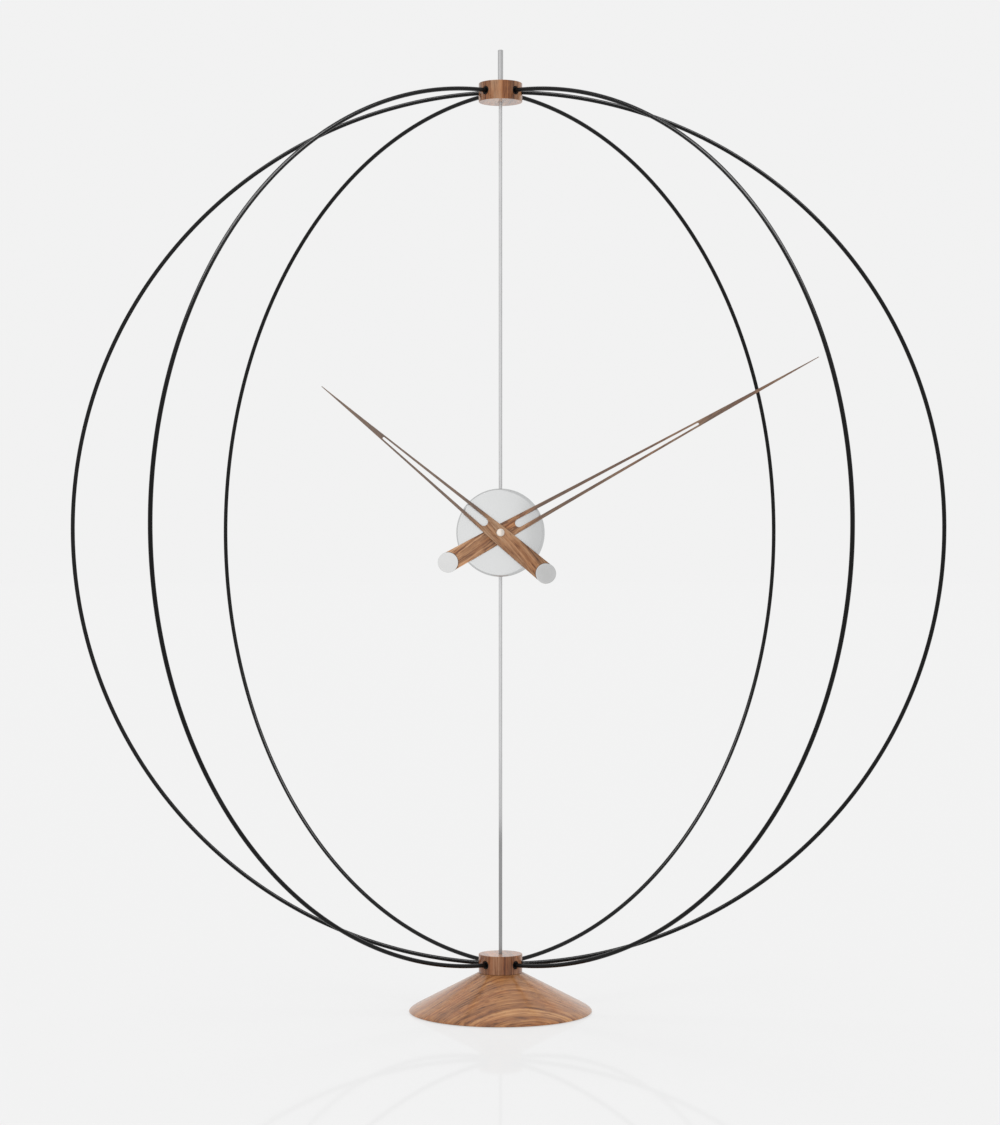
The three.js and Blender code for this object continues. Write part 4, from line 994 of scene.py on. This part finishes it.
def cover_mesh():
    rim = DRUM_RADIUS - DRUM_WALL - FIT_GAP
    skirt = rim - COVER_SKIRT_WALL
    front = DRUM_BACK - COVER_THICKNESS
    skirt_front = front - COVER_SKIRT_DEPTH
    body = turned([
        (0, front), (skirt, front, COVER_CORNER_EDGE), (skirt, skirt_front, COVER_SKIRT_INNER_EDGE),
        (rim, skirt_front, COVER_SKIRT_OUTER_EDGE), (rim, DRUM_BACK, COVER_EDGE), (0, DRUM_BACK),
    ], axis="y", centre=HUB, segments=192, closed=False)
    place = (KNOB_PLACE[0], 0, HUB_HEIGHT + KNOB_PLACE[1])
    start, end = front - CUTTER_REACH, DRUM_BACK + KNOB_HOLE_BEVEL_PAST
    hole = turned([
        (0, start), (KNOB_HOLE_RADIUS, start), (KNOB_HOLE_RADIUS, DRUM_BACK - KNOB_HOLE_BEVEL_DEPTH),
        (KNOB_HOLE_RADIUS + KNOB_HOLE_BEVEL, end), (0, end),
    ], axis="y", centre=place, segments=64, closed=False)
    return shade(carved(body, hole))


make("satin_drum_shell", drum_mesh(), case_finish, "stand", "drum_shell", slot="case_metal")
make("satin_rear_cover", cover_mesh(), case_finish, "rear_cover", "rear_cover", slot="case_metal")


# Hands

def dial_place(hand):
    """From a hand's own plane, with +X on its middle line, to its place on the dial."""
    place = Matrix.Translation(HUB) @ Matrix.Rotation(-math.radians(hand["angle"]), 4, "Y")
    return place @ Matrix.Translation((0, 0, hand["offset"]))


def in_metres(place):
    return Matrix.Translation(place.translation * MM) @ place.to_3x3().to_4x4()


def blade_outline(hand):
    """The blade's outline, round the tail and out to the tip, anticlockwise from the front."""
    reach, hub, middle, tip = hand["reach"], hand["hub"], hand["middle"], hand["tip"]
    edge = []
    for k in range(BLADE_EDGE_STEPS + 1):
        t = k / BLADE_EDGE_STEPS
        edge.append(Vector((
            2 * t * (1 - t) * reach / 2 + t * t * reach,
            (1 - t) ** 2 * hub + 2 * t * (1 - t) * middle + t * t * tip,
        )))
    lower = [Vector((p.x, -p.y)) for p in edge]
    tail = arc((-hand["tail"], 0), hand["tail_half"], 90, 270, BLADE_TAIL_STEPS)
    return tail + lower + list(reversed(edge))


def blade_slot(hand):
    (start, end), (wide, narrow) = hand["slot"], hand["slot_half"]
    near = arc((start + wide, 0), wide, 90, 270, SLOT_START_STEPS)
    far = arc((end - narrow, 0), narrow, -90, 90, SLOT_END_STEPS)
    return list(reversed(near + far))


def blade_mesh(hand, back):
    """A hand's blade, with a pocket for the weight and a stepped hole for its screw."""
    front = back - HAND_THICKNESS
    place = dial_place(hand)
    bore = round_hole((0, -hand["offset"]), hand["bore"], BLADE_BORE_STEPS)
    body = plate([blade_outline(hand), blade_slot(hand), bore], front, back, HAND_EDGE, place)
    head_front = back - WEIGHT_SCREW_HEAD_HEIGHT - SEAT_GAP
    ahead, behind = front - CUTTER_REACH, back + CUTTER_REACH
    tools = []
    for radius, start, end, segments in (
        (WEIGHT_RADIUS, ahead, back - TONGUE_THICKNESS, 96),
        (WEIGHT_SCREW_RADIUS, ahead, behind, 32),
        (WEIGHT_SCREW_HEAD_RADIUS, head_front, behind, 40),
    ):
        tool = turned(disc(radius + FIT_GAP, start, end), axis="y", centre=(-hand["tail"], 0, 0),
                      segments=segments, closed=False)
        tool.transform(in_metres(place))
        tools.append(tool)
    return shade(carved(body, *tools), flat_axis=Vector((0, 1, 0)))


def weight_place(hand):
    return dial_place(hand) @ Vector((-hand["tail"], 0, 0))


def weight_mesh(hand, back):
    weight_back = back - TONGUE_THICKNESS - SEAT_GAP
    front = back - HAND_THICKNESS - WEIGHT_PROUD
    bore, bore_end = WEIGHT_SCREW_RADIUS + FIT_GAP, weight_back - WEIGHT_SCREW_BITE
    return turned([
        (0, front), (WEIGHT_RADIUS, front, WEIGHT_EDGE), (WEIGHT_RADIUS, weight_back, WEIGHT_BACK_EDGE),
        (bore, weight_back), (bore, bore_end), (0, bore_end),
    ], axis="y", centre=weight_place(hand), segments=128, closed=False)


def weight_screw_mesh(hand, back):
    head_front = back - WEIGHT_SCREW_HEAD_HEIGHT
    end = back - TONGUE_THICKNESS - WEIGHT_SCREW_BITE + FIT_GAP
    front_edge, back_edge = WEIGHT_SCREW_HEAD_EDGES
    place = weight_place(hand)
    body = turned([
        (0, end), (WEIGHT_SCREW_RADIUS, end, WEIGHT_SCREW_END_EDGE), (WEIGHT_SCREW_RADIUS, head_front),
        (WEIGHT_SCREW_HEAD_RADIUS, head_front, front_edge), (WEIGHT_SCREW_HEAD_RADIUS, back, back_edge),
        (0, back),
    ], axis="y", centre=place, segments=48, closed=False)
    long, wide = WEIGHT_SCREW_HEAD_RADIUS + CUTTER_REACH, DRIVER_SLOT_HALF_WIDTH
    corners = [Vector(spot) for spot in ((-long, -wide), (long, -wide), (long, wide), (-long, wide))]
    turn = Matrix.Rotation(math.radians(DRIVER_SLOT_TURN + hand["angle"]), 4, "Y")
    slot = plate([corners], back - DRIVER_SLOT_DEPTH, back + CUTTER_REACH, DRIVER_SLOT_INSET,
                 Matrix.Translation(place) @ turn)
    return shade(carved(body, slot))


def cap_mesh():
    dome = []
    for k in range(CAP_STEPS + 1):
        turn = math.pi / 2 * k / CAP_STEPS
        dome.append((CAP_RADIUS * math.sin(turn), CAP_BACK - CAP_HEIGHT * math.cos(turn)))
    hole_end = CAP_BACK - CAP_HOLE_DEPTH
    return turned([*dome, (CAP_HOLE_RADIUS, CAP_BACK), (CAP_HOLE_RADIUS, hole_end), (0, hole_end)],
                  axis="y", centre=HUB, segments=96, closed=False)


def add_hand(title, hand, back, wood):
    body = f"{title}_hand"
    centre = tuple(c * MM for c in weight_place(hand))
    faced = lathe_metal(f"faced_steel_{title}", (0.578, 0.578, 0.575), 0.20, centre)
    make(f"walnut_{title}_blade", blade_mesh(hand, back), wood, body, f"{title}_blade", slot="walnut")
    make(f"steel_{title}_weight", weight_mesh(hand, back), faced, body, f"{title}_weight",
         slot="satin_steel")
    make(f"brass_{title}_weight_screw", weight_screw_mesh(hand, back), brass_finish, body,
         f"{title}_weight_screw", slot="brass")


add_hand("minute", MINUTE_HAND, MINUTE_BACK, minute_wood)
add_hand("hour", HOUR_HAND, HOUR_BACK, hour_wood)
make("cap_of_hour_hand", cap_mesh(), cap_finish, "hour_hand", "hour_cap", slot="cap_metal")


# CAD pieces that stay, with better finishes
KEPT = (
    (steel_finish, (
        "ballast_disc", "rod_nut", "rod_washer", "upper_rod_clamp", "lower_rod_clamp", "hour_arbor",
        "positive_contact", "negative_contact",
    )),
    (dark_steel_finish, (
        "ballast_screw_1", "ballast_screw_2", "ballast_screw_3", "upper_clamp_screw", "lower_clamp_screw",
    )),
    (brass_finish, (
        "lower_insert", "upper_insert", "movement_nut", "minute_pipe", "hour_wheel", "motion_wheel",
    )),
    (case_plastic, ("movement_case", "movement_cover")),
    (white_plastic, ("battery_cradle", "set_knob")),
    (board, ("circuit_board",)),
    (copper, ("motor_coil",)),
    (jacket, ("battery",)),
)
for finish, nodes in KEPT:
    for node in nodes:
        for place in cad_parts[node].material_slots:
            place.material = finish


# Floor and air
WHITE = (0.887, 0.887, 0.887, 1)
FLOOR_TONE = (0.76, 0.76, 0.76, 1)
FLOOR_GLOW = 0.70
FLOOR_GLOSS = 0.055
FLOOR_GLOSS_ROUGHNESS = 0.05
FLOOR_RADIUS = 60.0
FLOOR_SIDES = 96


def add_floor():
    """A wide pale disc that glows a little and mirrors a little."""
    mesh = bpy.data.meshes.new("studio_floor")
    rim = []
    for k in range(FLOOR_SIDES):
        turn = 2 * math.pi * k / FLOOR_SIDES
        rim.append((FLOOR_RADIUS * math.cos(turn), FLOOR_RADIUS * math.sin(turn), 0))
    mesh.from_pydata(rim, [], [tuple(range(FLOOR_SIDES))])
    made = bpy.data.objects.new("studio_floor", mesh)
    bpy.context.collection.objects.link(made)
    look = Finish("studio_floor")
    matt = look.node("BsdfDiffuse", {"Color": FLOOR_TONE}).outputs[0]
    glow = look.node("Emission", {"Color": WHITE, "Strength": 1.0}).outputs[0]
    gloss = look.node("BsdfGlossy", {"Color": (1, 1, 1, 1), "Roughness": FLOOR_GLOSS_ROUGHNESS}).outputs[0]
    lit = look.node("MixShader", {0: FLOOR_GLOW, 1: matt, 2: glow}).outputs[0]
    mixed = look.node("MixShader", {0: FLOOR_GLOSS, 1: lit, 2: gloss}).outputs[0]
    look.tree.links.new(mixed, look.output.inputs[0])
    mesh.materials.append(look.material)
    return made


def add_air():
    world = bpy.data.worlds.new("studio_air")
    world.use_nodes = True
    air = world.node_tree.nodes["Background"]
    air.inputs[0].default_value = WHITE
    air.inputs[1].default_value = 1.0
    bpy.context.scene.world = world
    bpy.context.scene.view_settings.view_transform = "Standard"
    bpy.context.scene.view_settings.look = "None"


# Lights. The cards only show as reflections: the front card lightens the case up to its right third, the
# side card its left edge, and the strip overhead the upper side of the hoops.
SUN_ENERGY = 1.0
SUN_ANGLE = 32.0
SUN_FROM = (-1.5, 4.6, 14.0)
CARD_RADIANCE = 0.37
CARD_RIGHT_EDGE = 0.030
CARD_FRONT = -0.30
CARD_WIDTH = 0.90
CARD_HEIGHT = 1.1
CARD_LIFT = 0.80
SIDE_CARD_RADIANCE = 0.555
SIDE_CARD_WIDTH = 1.2
SIDE_CARD_BACK = 0.6
STRIP_RADIANCE = 18.0
STRIP_SIZE = (3.0, 0.9)
STRIP_PLACE = (0, -0.9, 2.4)


def add_sun():
    data = bpy.data.lights.new("soft_key", "SUN")
    data.energy = SUN_ENERGY
    data.angle = math.radians(SUN_ANGLE)
    sun = bpy.data.objects.new("soft_key", data)
    sun.rotation_euler = Vector(SUN_FROM).to_track_quat("Z", "Y").to_euler()
    sun.visible_glossy = False
    bpy.context.collection.objects.link(sun)


def lit_set(name, things, state):
    """A collection that says which things a card lights."""
    made = bpy.data.collections.new(name)
    for thing in things:
        made.objects.link(thing)
    for entry in made.collection_objects:
        entry.light_linking.link_state = state
    return made


def add_card(name, size, radiance, place, turn, lit):
    """A card of light, turned by degrees about each axis, that only shows in the things of one lit set."""
    data = bpy.data.lights.new(name, "AREA")
    data.shape = "RECTANGLE"
    data.size, data.size_y = size
    data.energy = radiance * math.pi * size[0] * size[1]
    card = bpy.data.objects.new(name, data)
    card.location = place
    card.rotation_euler = [math.radians(angle) for angle in turn]
    card.visible_camera = False
    card.visible_diffuse = False
    card.light_linking.receiver_collection = lit
    bpy.context.collection.objects.link(card)


floor = add_floor()
add_air()
add_sun()
all_but_floor = lit_set("all_but_floor", [floor], "EXCLUDE")
hoops_only = lit_set("hoops_only", hoops, "INCLUDE")
add_card("front_card", (CARD_WIDTH, CARD_HEIGHT), CARD_RADIANCE,
         (CARD_RIGHT_EDGE - CARD_WIDTH / 2, CARD_FRONT, CARD_LIFT), (90, 0, 0), all_but_floor)
add_card("side_card", (SIDE_CARD_WIDTH, CARD_HEIGHT), SIDE_CARD_RADIANCE,
         (CARD_RIGHT_EDGE - CARD_WIDTH, CARD_FRONT + SIDE_CARD_BACK, CARD_LIFT), (90, 0, 90), all_but_floor)
add_card("hoop_strip", STRIP_SIZE, STRIP_RADIANCE, STRIP_PLACE, (0, 0, 0), hoops_only)
